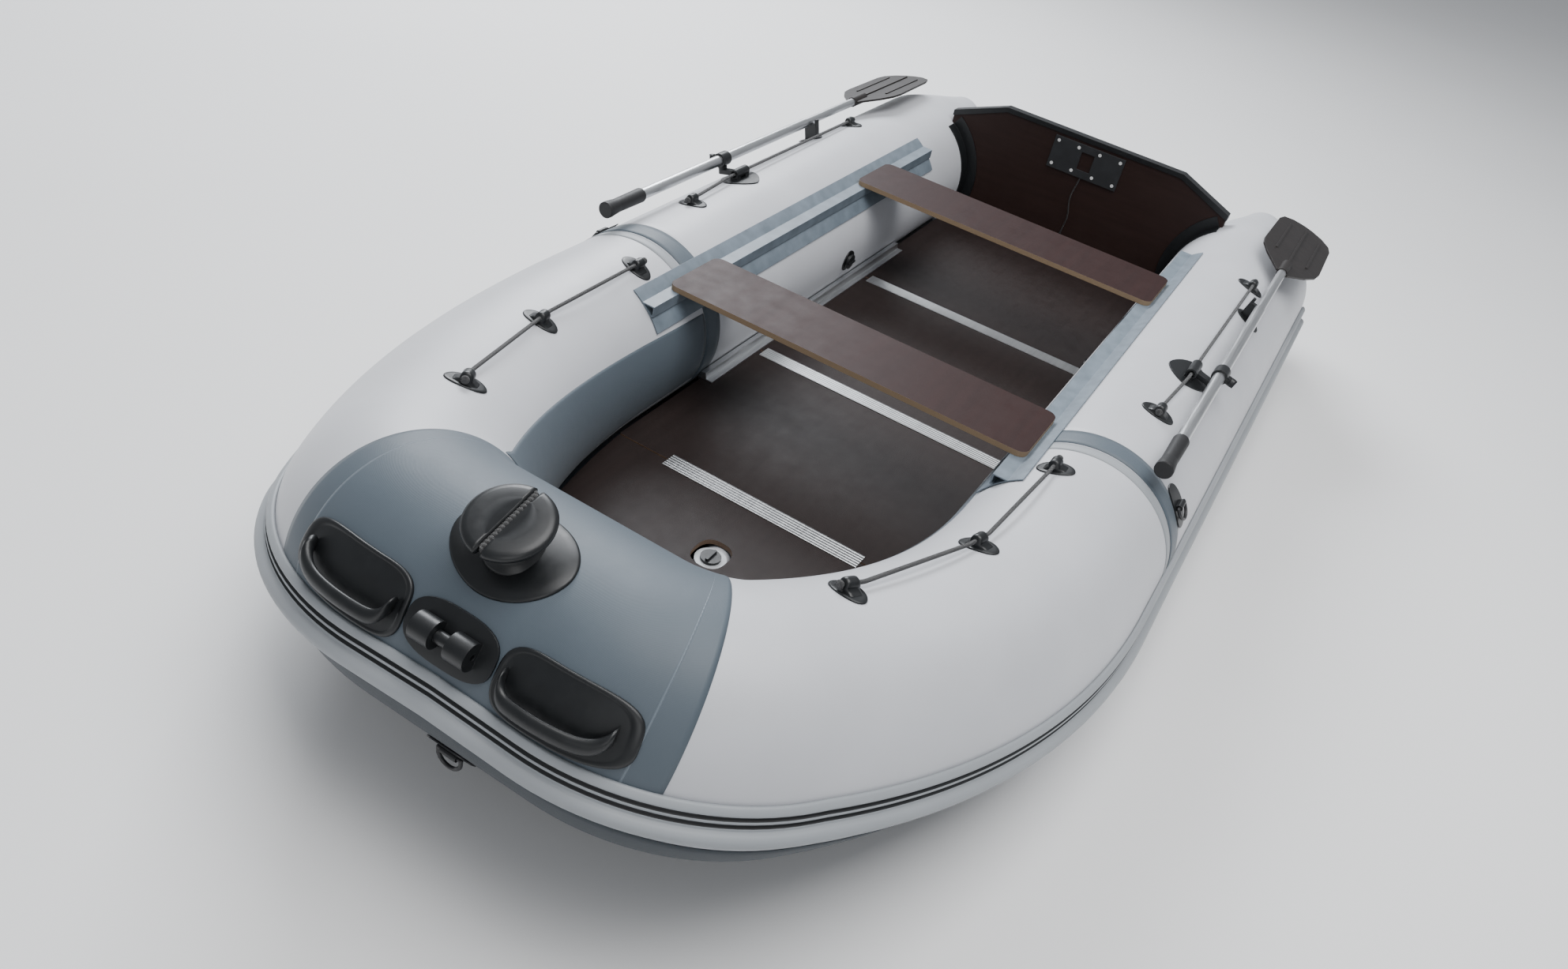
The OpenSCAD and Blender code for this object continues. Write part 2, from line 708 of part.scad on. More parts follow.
module seat_board(front) {
    color("#54423b") rounded_board(front - seat_w, front, seat_len / 2, seat_bottom, seat_h, seat_corner_r);
}

module seat_front() {
    seat_board(seat_front_x);
}

module seat_rear() {
    seat_board(seat_rear_x);
}

// ---- Lifelines ----

module eyelet() {
    difference() {
        union() {
            wall_pad(oval(eyelet_l / 2, eyelet_w / 2), pad_t);
            difference() {
                translate([0, 0, tube_r + eyelet_hole_h]) x_rod(hump_r, -14, 14);
                x_rod(tube_r + gap, -20, 20);
            }
            translate([-11, -11, tube_r + 1.5]) cube([22, 22, eyelet_hole_h - 1.5]);
        }
        translate([0, 0, tube_r + eyelet_hole_h]) x_rod(rope_d / 2 + rope_gap, -20, 20);
    }
}

module rope_eyelets() {
    color(dark) both_sides() for (p = eyelet_places) at_tube(p[0], p[1]) eyelet();
}

// A rope point over a fitting, ahead of it by dx along the tube
rope_r = tube_r + eyelet_hole_h;
function over_eyelet(i, dx) =
    let (p = eyelet_places[i]) centre(p[0]) + rope_r * outward(p[0], p[1]) + dx * tangent(p[0]);
lock_point = centre(oarlock_s) + (tube_r + lobe_h) * outward(oarlock_s, oarlock_deg);
front_rope = [over_eyelet(0, -26), over_eyelet(0, -22), over_eyelet(0, -16), over_eyelet(0, -15),
              over_eyelet(0, 15), over_eyelet(0, 24),
              over_eyelet(1, -24), over_eyelet(1, -15), over_eyelet(1, 15), over_eyelet(1, 24),
              over_eyelet(2, -24), over_eyelet(2, -15), over_eyelet(2, 15), over_eyelet(2, 16),
              over_eyelet(2, 22), over_eyelet(2, 26)];
rear_rope = [over_eyelet(3, 26), over_eyelet(3, 22), over_eyelet(3, 16), over_eyelet(3, 15),
             over_eyelet(3, -15), over_eyelet(3, -30), lock_point + [45, 0, 0], lock_point + [34, 0, 0],
             lock_point - [34, 0, 0], lock_point - [45, 0, 0], over_eyelet(4, 30), over_eyelet(4, 15),
             over_eyelet(4, -15), over_eyelet(4, -16), over_eyelet(4, -22), over_eyelet(4, -26)];
// Stopper knots at both ends keep the rope in its eyelets
knots = [5, 8, 8, rope_d / 2];
function knotted(path) = [for (i = [0:len(path) - 1])
    let (k = min(i, len(path) - 1 - i)) k < 4 ? knots[k] : rope_d / 2];

module lifelines() {
    color("#1c1d1e") both_sides() {
        rod_along(front_rope, knotted(front_rope));
        rod_along(rear_rope, knotted(rear_rope));
    }
}

// ---- Oars ----

module lock_lobe(x0, x1) {
    translate([0, 0, tube_r + lobe_h]) x_rod(lobe_r, x0, x1);
    translate([x0, -lobe_r + 2, tube_r + 1.5]) cube([x1 - x0, 2 * lobe_r - 4, lobe_h - 1.5]);
}

module oarlock_bases() {
    color(dark) both_sides() at_tube(oarlock_s, oarlock_deg) difference() {
        union() {
            wall_pad(oval(60, 55, 1.6), 3);
            lock_lobe(lobe_in, lobe_out);
            lock_lobe(-lobe_out, -lobe_in);
        }
        translate([0, 0, tube_r + lobe_h]) x_rod(trunnion_r + run_gap, -lobe_out - 1, lobe_out + 1);
    }
}

// In the oarlock's frame the tube's wall is at height 0
module at_lock(side) {
    mirror([0, side == "port" ? 0 : 1, 0]) at_tube(oarlock_s, oarlock_deg) translate([0, 0, tube_r]) children();
}

module swivel() {
    difference() {
        union() {
            translate([0, 0, lobe_h]) {
                x_rod(lobe_r, gap - lobe_in, lobe_in - gap);
                x_rod(trunnion_r, -trunnion_end, trunnion_end);
            }
            translate([gap - lobe_in, 4, arm_top - 12]) cube([2 * (lobe_in - gap), oar_side - 4, 12]);
            translate([0, oar_side, arm_top - 12]) cylinder(r = lobe_in - gap, h = 12);
            translate([0, oar_side, arm_top - 1]) cylinder(r = swing_pin_r, h = swing_pin_top - arm_top + 1);
        }
        translate([0, 0, lobe_h]) x_rod(rope_d / 2 + rope_gap, -trunnion_end - 1, trunnion_end + 1);
    }
}

module oarlock_swivel_port() {
    color("#232527") at_lock("port") swivel();
}

module oarlock_swivel_starboard() {
    color("#232527") at_lock("starboard") swivel();
}

module collar() {
    difference() {
        union() {
            translate([0, oar_side, oar_lift]) x_rod(collar_r, -collar_half, collar_half);
            translate([0, oar_side, arm_top + gap]) cylinder(r = 12, h = oar_lift - arm_top - gap);
            translate([-8, screw_y - 4, oar_lift - 8]) cube([16, 10, 16]);
        }
        translate([0, oar_side, oar_lift]) x_rod(shaft_d / 2 + gap / 3, -collar_half - 1, collar_half + 1);
        translate([0, oar_side, arm_top]) cylinder(r = swing_pin_r + run_gap, h = swing_pin_top - arm_top + gap);
        translate([0, 0, oar_lift]) y_rod(3 + run_gap, oar_side, screw_y + 20);
    }
}

module oar_collar_port() {
    color(dark) at_lock("port") collar();
}

module oar_collar_starboard() {
    color(dark) at_lock("starboard") collar();
}

module screw() {
    translate([0, 0, oar_lift]) {
        y_rod(3, oar_side + shaft_d / 2 + 1, screw_y + 8);
        y_rod(11, screw_y + 6 + gap, screw_y + 15);
        translate([-3, screw_y + 14, -10]) cube([6, 6, 20]);
    }
}

module collar_screw_port() {
    color("#1d1f20") at_lock("port") screw();
}

module collar_screw_starboard() {
    color("#1d1f20") at_lock("starboard") screw();
}

// Along the oar, distances are from the oarlock towards the grip
shaft_end = inboard_len - 6;
blade_root = inboard_len - oar_len + blade_len;
shaft_tail = blade_root - 60;
step_at = shaft_step_x - oarlock_x;

module on_oar() {
    translate([0, oar_side, oar_lift]) children();
}

module shaft() {
    on_oar() {
        x_rod(shaft_d / 2, step_at, shaft_end);
        x_rod(shaft_thin_d / 2, shaft_tail, step_at + 1);
    }
}

module oar_shaft_port() {
    color("#c8c9cb") at_lock("port") shaft();
}

module oar_shaft_starboard() {
    color("#c8c9cb") at_lock("starboard") shaft();
}

module grip() {
    on_oar() rotate([0, 90, 0]) rotate_extrude() polygon([
        [shaft_d / 2 + gap / 3, inboard_len - grip_len], [grip_d / 2 - 1, inboard_len - grip_len],
        [grip_d / 2, inboard_len - grip_len + 3], [grip_d / 2 - 1, inboard_len - 45],
        [grip_d / 2 + 2, inboard_len - 12], [grip_d / 2 + 2, inboard_len - 2], [grip_d / 2, inboard_len],
        [0, inboard_len], [0, shaft_end + gap], [shaft_d / 2 + gap / 3, shaft_end + gap]]);
}

module oar_grip_port() {
    color("#2a2a2b") at_lock("port") grip();
}

module oar_grip_starboard() {
    color("#2a2a2b") at_lock("starboard") grip();
}

module blade() {
    half = blade_w / 2;
    root = blade_root;
    tip = root - blade_len;
    t = 6;
    on_oar() difference() {
        union() {
            translate([0, 0, -t / 2]) linear_extrude(t) polygon([
                [root + 6, 18], [root - 60, half - 30], [root - 110, half - 6], [root - 150, half],
                [tip + 70, half - 4], [tip + 34, half - 14], [tip + 10, half - 44], [tip, half - 80],
                [tip, 80 - half], [tip + 10, 44 - half], [tip + 34, 14 - half], [tip + 70, 4 - half],
                [root - 150, -half], [root - 110, 6 - half], [root - 60, 30 - half], [root + 6, -18]]);
            x_rod(shaft_thin_d / 2 + 3, root - 70, root + 10);
            for (y = [-half * 0.55, half * 0.55])
                translate([tip + 60, y - 3, -t / 2 - 3]) cube([blade_len - 190, 6, t + 6]);
            translate([tip + 30, -3, -t / 2 - 4]) cube([blade_len - 120, 6, t + 8]);
        }
        x_rod(shaft_thin_d / 2 + gap / 3, shaft_tail - gap, root + 20);
    }
}

module oar_blade_port() {
    color("#3a3432") at_lock("port") blade();
}

module oar_blade_starboard() {
    color("#3a3432") at_lock("starboard") blade();
}

module clip() {
    lean = oar_side;
    color(dark) difference() {
        union() {
            wall_pad([for (p = oval(26, 38)) [p.x, p.y + lean - 3]], pad_t, 0.6);
            translate([-7, lean - 26, tube_r - 10]) cube([14, 38, oar_lift + 4]);
            // The horn stands far enough inboard for the oar to lift past it
            translate([-6, lean - 30, tube_r]) cube([12, 8, oar_lift + 6]);
        }
        x_rod(tube_r + 0.6, -30, 30);
        translate([0, lean, tube_r + oar_lift]) x_rod(shaft_thin_d / 2 + gap, -30, 30);
        translate([-30, lean, tube_r + oar_lift - shaft_thin_d / 2 - gap - 0.5]) cube([60, 60, 60]);
    }
}

module oar_clips() {
    both_sides() at_tube(clip_s, oarlock_deg) clip();
}

// ---- Bow and stern fittings ----

// A ring of an oval patch that is wrapped on the bow chamber
function patch_ring(size, r) = [for (p = oval(handle_half * size, handle_half_deg * size, 3.2, 32))
    round_bow(handle_s + p.x, handle_deg - p.y, r)];
handle_bar_r = 9;
handle_rise = 15;
handle_path = [for (i = [0:12]) let (f = i / 12)
    round_bow(handle_s + (f - 0.5) * 2 * (handle_half - 24), handle_deg - 5,
              over_r + 2 + handle_bar_r + handle_rise * sqrt(sin(180 * f)))];

module carry_handles() {
    color(dark) both_sides() {
        loft([for (f = [0.05, 0.35, 0.65, 1]) patch_ring(f, over_r + 0.9),
              patch_ring(1, over_r + 2.4), patch_ring(0.93, over_r + 4),
              patch_ring(0.65, over_r + 4), patch_ring(0.35, over_r + 4), patch_ring(0.05, over_r + 4)]);
        rod_along(handle_path, [for (p = handle_path) handle_bar_r], 12);
        stern_handle();
    }
}

module stern_handle() {
    pad_x = cone_end_x - gap;
    translate([0, cone_end_y - 10, cone_end_z + 10]) {
        x_rod(46, pad_x - 2.5, pad_x);
        translate([pad_x - 10, 0, 0]) rotate([90, 0, 90]) rotate_extrude() translate([28, 0]) circle(r = 6, $fn = 24);
        for (a = [0, 180]) rotate([a, 0, 0]) translate([pad_x - 10, 28, 0]) rotate([0, 90, 0])
            cylinder(r = 5, h = 8);
    }
}

fairlead_r = 22;
fairlead_h = 18;
axle_r = 4;

module fairlead_body() {
    color(dark) at_tube(s_bow, fairlead_deg) {
        difference() {
            union() {
                wall_pad(oval(80, 45, 2.8), 4, over_lift);
                for (x0 = [14, -50]) difference() {
                    union() {
                        translate([0, 0, tube_r + fairlead_h]) x_rod(fairlead_r, x0, x0 + 36);
                        translate([x0, 4 - fairlead_r, tube_r + 3]) cube([36, 2 * fairlead_r - 8, fairlead_h - 3]);
                    }
                    x_rod(over_r + 0.5, x0 - 1, x0 + 37);
                }
            }
            translate([0, 0, tube_r + fairlead_h]) x_rod(5, -51, -38);
        }
        translate([0, 0, tube_r + fairlead_h]) x_rod(axle_r, -20, 20);
    }
}

module fairlead_roller() {
    color("#3a3c3e") at_tube(s_bow, fairlead_deg) translate([0, 0, tube_r + fairlead_h]) difference() {
        x_rod(min(roller_d / 2, fairlead_h - over_r + tube_r - 4 - gap), gap - 14, 14 - gap);
        x_rod(axle_r + run_gap * 2, -15, 15);
    }
}

cleat_neck_r = 34;
cleat_h = 54;
cleat_t = 18;
cleat_slot_w = 12;

module cleat_body() {
    r = cleat_d / 2;
    color(dark) at_tube(s_bow, cleat_deg) difference() {
        union() {
            wall_pad(oval(100, 76, 1.8), 4, over_lift);
            translate([0, 0, tube_r + over_lift + 0.4]) cylinder(r = cleat_neck_r, h = cleat_h);
            translate([0, 0, tube_r + cleat_h]) cylinder(r = r, h = cleat_t);
        }
        translate([-cleat_slot_w / 2, -r - 1, tube_r + cleat_h + 2]) cube([cleat_slot_w, 2 * r + 2, cleat_t]);
    }
}

module cleat_rope() {
    r = cleat_slot_w / 2 - gap;
    reach = cleat_d / 2 - 8;
    color("#1c1d1e") at_tube(s_bow, cleat_deg) translate([0, 0, tube_r + cleat_h + 2 + gap + r]) {
        y_rod(r - 1, -reach, reach);
        for (y = [-reach:10:reach - 5]) y_rod(r, y, y + 6);
    }
}

// ---- Rings ----

module ring_lug(lift) {
    half = ring_d / 2 - 10;
    difference() {
        union() {
            translate([0, 0, tube_r + ring_lift]) x_rod(ring_bar_d / 2 + 3, -half, half);
            translate([-half, -6, tube_r + lift + gap]) cube([2 * half, 12, ring_lift - lift - gap]);
        }
        translate([0, 0, tube_r + ring_lift]) x_rod(ring_bar_d / 2 + run_gap, -half - 1, half + 1);
    }
}

// A D ring that turns in the lug about its straight bar; at 0 it points along +Y
module d_ring(turn) {
    r = (ring_d - ring_bar_d) / 2;
    translate([0, 0, tube_r + ring_lift]) rotate([turn, 0, 0]) {
        x_rod(ring_bar_d / 2, -r, r);
        for (x = [-r, r]) translate([x, 0, 0]) {
            y_rod(ring_bar_d / 2, 0, 8);
            sphere(d = ring_bar_d, $fn = 32);
        }
        translate([0, 8, 0]) rotate_extrude(angle = 180) translate([r, 0]) circle(d = ring_bar_d, $fn = 24);
    }
}

module ring_patches() {
    color(dark) {
        both_sides() at_tube(ring_place[0], ring_place[1]) {
            wall_pad(oval(27, 50, 2.4), pad_t, band_lift);
            ring_lug(band_lift);
        }
        at_tube(s_bow, tow_deg) {
            wall_pad(oval(45, 32, 2.4), pad_t, over_lift);
            ring_lug(over_lift);
        }
    }
}

module side_ring_port() {
    color("#17181a") at_tube(ring_place[0], ring_place[1]) d_ring(0);
}

module side_ring_starboard() {
    color("#17181a") mirror([0, 1, 0]) at_tube(ring_place[0], ring_place[1]) d_ring(0);
}

module tow_ring() {
    color("#17181a") at_tube(s_bow, tow_deg) d_ring(-tow_deg);
}

// ---- Valves ----

module at_valve(side) {
    mirror([0, side == "port" ? 0 : 1, 0]) at_tube(valve_place[0], valve_place[1]) children();
}

module air_valves() {
    color(dark) for (side = ["port", "starboard"]) at_valve(side) difference() {
        union() {
            wall_pad(oval(valve_flange_d / 2, valve_flange_d / 2), 3);
            translate([0, 0, tube_r - 26]) cylinder(d = valve_barrel_d, h = 31);
        }
        translate([0, 0, tube_r - 20]) cylinder(d = valve_bore_d, h = 40);
    }
}

module valve_cap(h0) {
    translate([0, 0, h0]) {
        cylinder(d = cap_d, h = 6);
        translate([0, 0, -12]) cylinder(d = valve_bore_d - 2 * run_gap, h = 13);
        translate([-cap_d / 2 + 4, -3, 5]) cube([cap_d - 8, 6, 6]);
    }
}

module valve_cap_port() {
    color("#1d1f20") at_valve("port") valve_cap(tube_r + 5 + gap);
}

module valve_cap_starboard() {
    color("#1d1f20") at_valve("starboard") valve_cap(tube_r + 5 + gap);
}

keel_valve_top = keel_z + keel_r + 2;

module keel_valve() {
    color("#c4c9ce") translate([keel_valve_x, 0, 0]) difference() {
        union() {
            translate([0, 0, keel_z + keel_r - 2 + gap]) cylinder(d = keel_valve_d, h = 4 - gap);
            translate([0, 0, keel_z + keel_r - 20]) cylinder(d = keel_barrel_d, h = 20);
        }
        translate([0, 0, keel_z + keel_r - 15]) cylinder(d = valve_bore_d, h = 40);
    }
}

module keel_valve_cap() {
    color("#1d1f20") translate([keel_valve_x, 0, 0]) valve_cap(keel_valve_top + gap);
}

tube_bow();
tube_port();
tube_starboard();
bulkheads();
seam_bands();
bow_wrap();
inner_guards();
rub_strake();
hull_skin();
keel_tube();
floor_bow();
floor_front();
floor_middle();
floor_rear();
floor_joints();
floor_stringers();
transom_board();
transom_trim();
transom_flanges();
motor_pad_inner();
motor_pad_outer();
rivets();
drain_socket();
drain_plug();
drain_cord();
seat_rails();
seat_front();
seat_rear();
rope_eyelets();
lifelines();
oarlock_bases();
oarlock_swivel_port();
oarlock_swivel_starboard();
oar_collar_port();
oar_collar_starboard();
collar_screw_port();
collar_screw_starboard();
oar_shaft_port();
oar_shaft_starboard();
oar_grip_port();
oar_grip_starboard();
oar_blade_port();
oar_blade_starboard();
oar_clips();
carry_handles();
fairlead_body();
fairlead_roller();
cleat_body();
cleat_rope();
ring_patches();
side_ring_port();
side_ring_starboard();
tow_ring();
air_valves();
valve_cap_port();
valve_cap_starboard();
keel_valve();
keel_valve_cap();
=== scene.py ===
"""Looks of the inflatable dinghy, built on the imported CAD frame."""

import json
import math

import bmesh
import bpy
from mathutils import Matrix, Vector

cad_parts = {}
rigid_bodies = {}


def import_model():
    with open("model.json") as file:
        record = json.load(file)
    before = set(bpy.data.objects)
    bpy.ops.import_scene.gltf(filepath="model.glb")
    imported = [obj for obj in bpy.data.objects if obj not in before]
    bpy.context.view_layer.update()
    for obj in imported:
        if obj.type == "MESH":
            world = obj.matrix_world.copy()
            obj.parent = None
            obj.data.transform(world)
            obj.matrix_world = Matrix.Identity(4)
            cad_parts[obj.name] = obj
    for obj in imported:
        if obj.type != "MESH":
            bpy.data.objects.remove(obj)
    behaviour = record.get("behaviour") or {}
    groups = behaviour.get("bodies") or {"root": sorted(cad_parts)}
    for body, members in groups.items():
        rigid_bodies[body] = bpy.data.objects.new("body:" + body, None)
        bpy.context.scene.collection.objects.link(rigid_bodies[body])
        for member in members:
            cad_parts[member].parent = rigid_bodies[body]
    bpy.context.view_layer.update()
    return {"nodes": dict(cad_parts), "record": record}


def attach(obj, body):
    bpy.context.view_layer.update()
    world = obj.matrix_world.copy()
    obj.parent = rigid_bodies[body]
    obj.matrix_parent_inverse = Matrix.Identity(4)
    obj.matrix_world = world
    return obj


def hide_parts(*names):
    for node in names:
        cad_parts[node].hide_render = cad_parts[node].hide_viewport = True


for obj in list(bpy.data.objects):
    bpy.data.objects.remove(obj)
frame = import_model()
nodes = frame["nodes"]
SIDES = ((1, "port"), (-1, "starboard"))


def sin_d(a):
    return math.sin(math.radians(a))


def cos_d(a):
    return math.cos(math.radians(a))


# ---- The hull's centre line, in metres, as in the CAD ----
TUBE_R = 0.21
TUBE_Y = 0.585
BOW_X = 1.412
RING_X = 0.295
BOW_RISE = 0.123
RISE_LEN = 0.846
STRAIGHT = 0.23
BEND_DEG = 33.0
CORNER_R = 0.232
BEND_X = RING_X + STRAIGHT
BEND_R = (BOW_X - BEND_X - CORNER_R * (1 - sin_d(BEND_DEG))) / sin_d(BEND_DEG)
CORNER_X = BEND_X + BEND_R * sin_d(BEND_DEG)
CORNER_Y = TUBE_Y - BEND_R * (1 - cos_d(BEND_DEG))
S_CORNER = STRAIGHT + BEND_R * math.radians(BEND_DEG)
S_CROSS = S_CORNER + CORNER_R * math.radians(90 - BEND_DEG)
S_BOW = S_CROSS + CORNER_Y - CORNER_R * cos_d(BEND_DEG)
RISE_X = BOW_X - RISE_LEN
CONE_X = -1.34
CONE_END_X = -1.6337
CONE_END_R = 0.075


def plan(s):
    if s < STRAIGHT:
        return RING_X + s, TUBE_Y, 0.0
    if s < S_CORNER:
        a = math.degrees((s - STRAIGHT) / BEND_R)
        return BEND_X + BEND_R * sin_d(a), TUBE_Y - BEND_R * (1 - cos_d(a)), a
    if s < S_CROSS:
        a = BEND_DEG + math.degrees((s - S_CORNER) / CORNER_R)
        return (CORNER_X + CORNER_R * (sin_d(a) - sin_d(BEND_DEG)),
                CORNER_Y - CORNER_R * (cos_d(BEND_DEG) - cos_d(a)), a)
    return BOW_X, S_BOW - s, 90.0


def ahead(x):
    return max(0.0, x - RISE_X) / RISE_LEN


def frame_at(s):
    x, y, a = plan(s)
    c = Vector((x, y, TUBE_R + BOW_RISE * ahead(x) ** 2))
    t = Vector((cos_d(a), -sin_d(a), cos_d(a) * 2 * BOW_RISE * ahead(x) / RISE_LEN)).normalized()
    n = Vector((sin_d(a), cos_d(a), 0))
    return c, t, n, t.cross(n)


def on_tube(s, phi, r):
    """A point at radius r round the centre line; phi is 0 outboard, 90 on top, 180 inboard."""
    if s > S_BOW:
        p = on_tube(2 * S_BOW - s, phi, r)
        return Vector((p.x, -p.y, p.z))
    c, _, n, b = frame_at(s)
    return c + r * (cos_d(phi) * n + sin_d(phi) * b)


def local_frame(s, phi, side=1):
    """X along the tube, Z out of it, origin on the tube's wall."""
    c, t, n, b = frame_at(s)
    z = cos_d(phi) * n + sin_d(phi) * b
    y = z.cross(t)
    o = c + TUBE_R * z
    m = Matrix(((t.x, y.x, z.x, o.x), (t.y, y.y, z.y, o.y), (t.z, y.z, z.z, o.z), (0, 0, 0, 1)))
    return m if side > 0 else Matrix.Diagonal((1, -1, 1, 1)) @ m


# ---- Materials ----
class Shader:
    """A material with a principled surface and short names for its parts."""

    def __init__(self, name, rough=0.5, metal=0.0, sheen=0.0, coat=0.0):
        self.mat = bpy.data.materials.new(name)
        self.mat.use_nodes = True
        self.tree = self.mat.node_tree
        self.out = self.tree.nodes["Principled BSDF"]
        self.out.inputs["Roughness"].default_value = rough
        self.out.inputs["Metallic"].default_value = metal
        self.out.inputs["Sheen Weight"].default_value = sheen
        self.out.inputs["Coat Weight"].default_value = coat
        self.place = self.tree.nodes.new("ShaderNodeTexCoord").outputs["Object"]
        self.uv = self.tree.nodes.new("ShaderNodeUVMap").outputs["UV"]

    def feed(self, socket, value):
        """Link an output to the socket, or set a plain value on it."""
        if hasattr(value, "is_output"):
            self.tree.links.new(value, socket)
        else:
            socket.default_value = value

    def node(self, kind, **values):
        n = self.tree.nodes.new(kind)
        for k, v in values.items():
            key = k.replace("_", " ")
            if key in n.inputs:
                self.feed(n.inputs[key], v)
            else:
                setattr(n, k, v)
        return n

    def scaled(self, scale, source=None):
        n = self.node("ShaderNodeMapping", Scale=scale)
        self.tree.links.new(source or self.place, n.inputs["Vector"])
        return n.outputs["Vector"]

    def noise(self, scale, detail=3.0, source=None):
        return self.node("ShaderNodeTexNoise", Vector=source or self.place, Scale=scale,
                         Detail=detail).outputs["Fac"]

    def wave(self, scale, direction, source=None, distortion=0.0):
        return self.node("ShaderNodeTexWave", Vector=source or self.place, Scale=scale,
                         Distortion=distortion, bands_direction=direction).outputs["Fac"]

    def math(self, operation, a, b=0.5):
        n = self.tree.nodes.new("ShaderNodeMath")
        n.operation = operation
        for i, v in enumerate((a, b)):
            self.feed(n.inputs[i], v)
        return n.outputs[0]

    def ramp(self, fac, low, high, a=0.3, b=0.7):
        n = self.node("ShaderNodeValToRGB", Fac=fac)
        n.color_ramp.elements[0].position = a
        n.color_ramp.elements[1].position = b
        n.color_ramp.elements[0].color = (*low, 1)
        n.color_ramp.elements[1].color = (*high, 1)
        return n.outputs["Color"]

    def mix(self, fac, a, b):
        n = self.tree.nodes.new("ShaderNodeMix")
        n.data_type = "RGBA"
        self.tree.links.new(fac, n.inputs[0])
        self.tree.links.new(a, n.inputs[6])
        self.tree.links.new(b, n.inputs[7])
        return n.outputs[2]

    def colour(self, c):
        self.tree.links.new(c, self.out.inputs["Base Color"])

    def rough(self, fac, low, high):
        n = self.node("ShaderNodeMapRange", Value=fac)
        n.inputs["To Min"].default_value = low
        n.inputs["To Max"].default_value = high
        self.tree.links.new(n.outputs["Result"], self.out.inputs["Roughness"])

    def bump(self, height, depth, strength=0.5, round_edges=0.0):
        n = self.node("ShaderNodeBump", Height=height, Distance=depth, Strength=strength)
        if round_edges:
            e = self.tree.nodes.new("ShaderNodeBevel")
            e.samples = 4
            e.inputs["Radius"].default_value = round_edges
            self.tree.links.new(e.outputs["Normal"], n.inputs["Normal"])
        self.tree.links.new(n.outputs["Normal"], self.out.inputs["Normal"])


def shade(colour, factor):
    return tuple(c * factor for c in colour)


THREADS = 330


def coated_fabric(name, base, rough, weave):
    m = Shader(name, rough=rough, sheen=0.08)
    soft = m.noise(5.0, 4)
    m.colour(m.ramp(soft, shade(base, 0.93), base))
    threads = m.math("MULTIPLY", m.wave(THREADS, "X"), m.wave(THREADS, "Y"))
    threads = m.math("ADD", threads, m.math("MULTIPLY", m.wave(THREADS, "Z"), 0.6))
    height = m.math("ADD", m.math("MULTIPLY", threads, 0.25), m.noise(38, 5))
    m.rough(m.noise(14, 4), rough - 0.05, rough + 0.08)
    m.bump(height, 0.0006 * weave, 0.35)
    return m.mat


EDGE_ROUND = 0.0012


def hard_plastic(name, base, rough=0.42):
    m = Shader(name, rough=rough)
    fine = m.noise(900, 2)
    m.colour(m.ramp(m.noise(30), shade(base, 0.85), shade(base, 1.15)))
    m.rough(m.noise(60), rough - 0.06, rough + 0.1)
    m.bump(fine, 0.00015, 0.4, round_edges=EDGE_ROUND)
    return m.mat


def board(name, base, edge_colour, face_axis, grain):
    """Film-faced plywood: printed anti-slip face, and layered edges where the face turns away."""
    m = Shader(name, rough=0.5)
    normal = m.node("ShaderNodeNewGeometry").outputs["Normal"]
    parts = m.node("ShaderNodeSeparateXYZ", Vector=normal)
    flat = m.math("GREATER_THAN", m.math("ABSOLUTE", parts.outputs[face_axis]), 0.7)
    streak = m.noise(9.0, 5, m.scaled((0.6, 7.0, 7.0) if face_axis == "Z" else (7.0, 0.7, 7.0)))
    face = m.ramp(streak, shade(base, 0.88), shade(base, 1.12))
    layers = m.wave(160.0, face_axis, distortion=0.3)
    edge = m.ramp(layers, shade(edge_colour, 0.62), edge_colour)
    m.colour(m.mix(flat, edge, face))
    mesh_pattern = m.math("MULTIPLY", m.wave(150, "X"), m.wave(150, "Y"))
    height = m.math("ADD", mesh_pattern, m.noise(420, 2))
    m.rough(m.noise(25, 4), 0.38, 0.62)
    m.bump(height, 0.0004, grain, round_edges=EDGE_ROUND)
    m.out.inputs["Specular IOR Level"].default_value = 0.25
    return m.mat


def metal(name, base, rough=0.32, ridges=0.0):
    m = Shader(name, rough=rough, metal=1.0)
    brushed = m.noise(260, 3, m.scaled((0.04, 1, 1)))
    m.colour(m.ramp(brushed, shade(base, 0.86), base))
    m.rough(brushed, rough - 0.08, rough + 0.12)
    if ridges:
        m.bump(m.wave(ridges, "X"), 0.0012, 0.8, round_edges=0.0006)
    else:
        m.bump(brushed, 0.0001, 0.25, round_edges=0.0006)
    return m.mat


PLAIT = 60.0


def rope_material(name, base):
    m = Shader(name, rough=0.75, sheen=0.3)
    a = m.wave(PLAIT, "DIAGONAL", m.scaled((1, 1, 1), m.uv))
    b = m.wave(PLAIT, "DIAGONAL", m.scaled((1, -1, 1), m.uv))
    plait = m.math("MAXIMUM", a, b)
    # The plait's colour is darker in its grooves and lighter on its crowns: painted shade in the grooves and
    # painted highlight on the crowns of a cord of one colour
    m.colour(m.ramp(plait, shade(base, 0.5), shade(base, 1.8)))
    m.bump(plait, 0.0008, 0.9)
    return m.mat


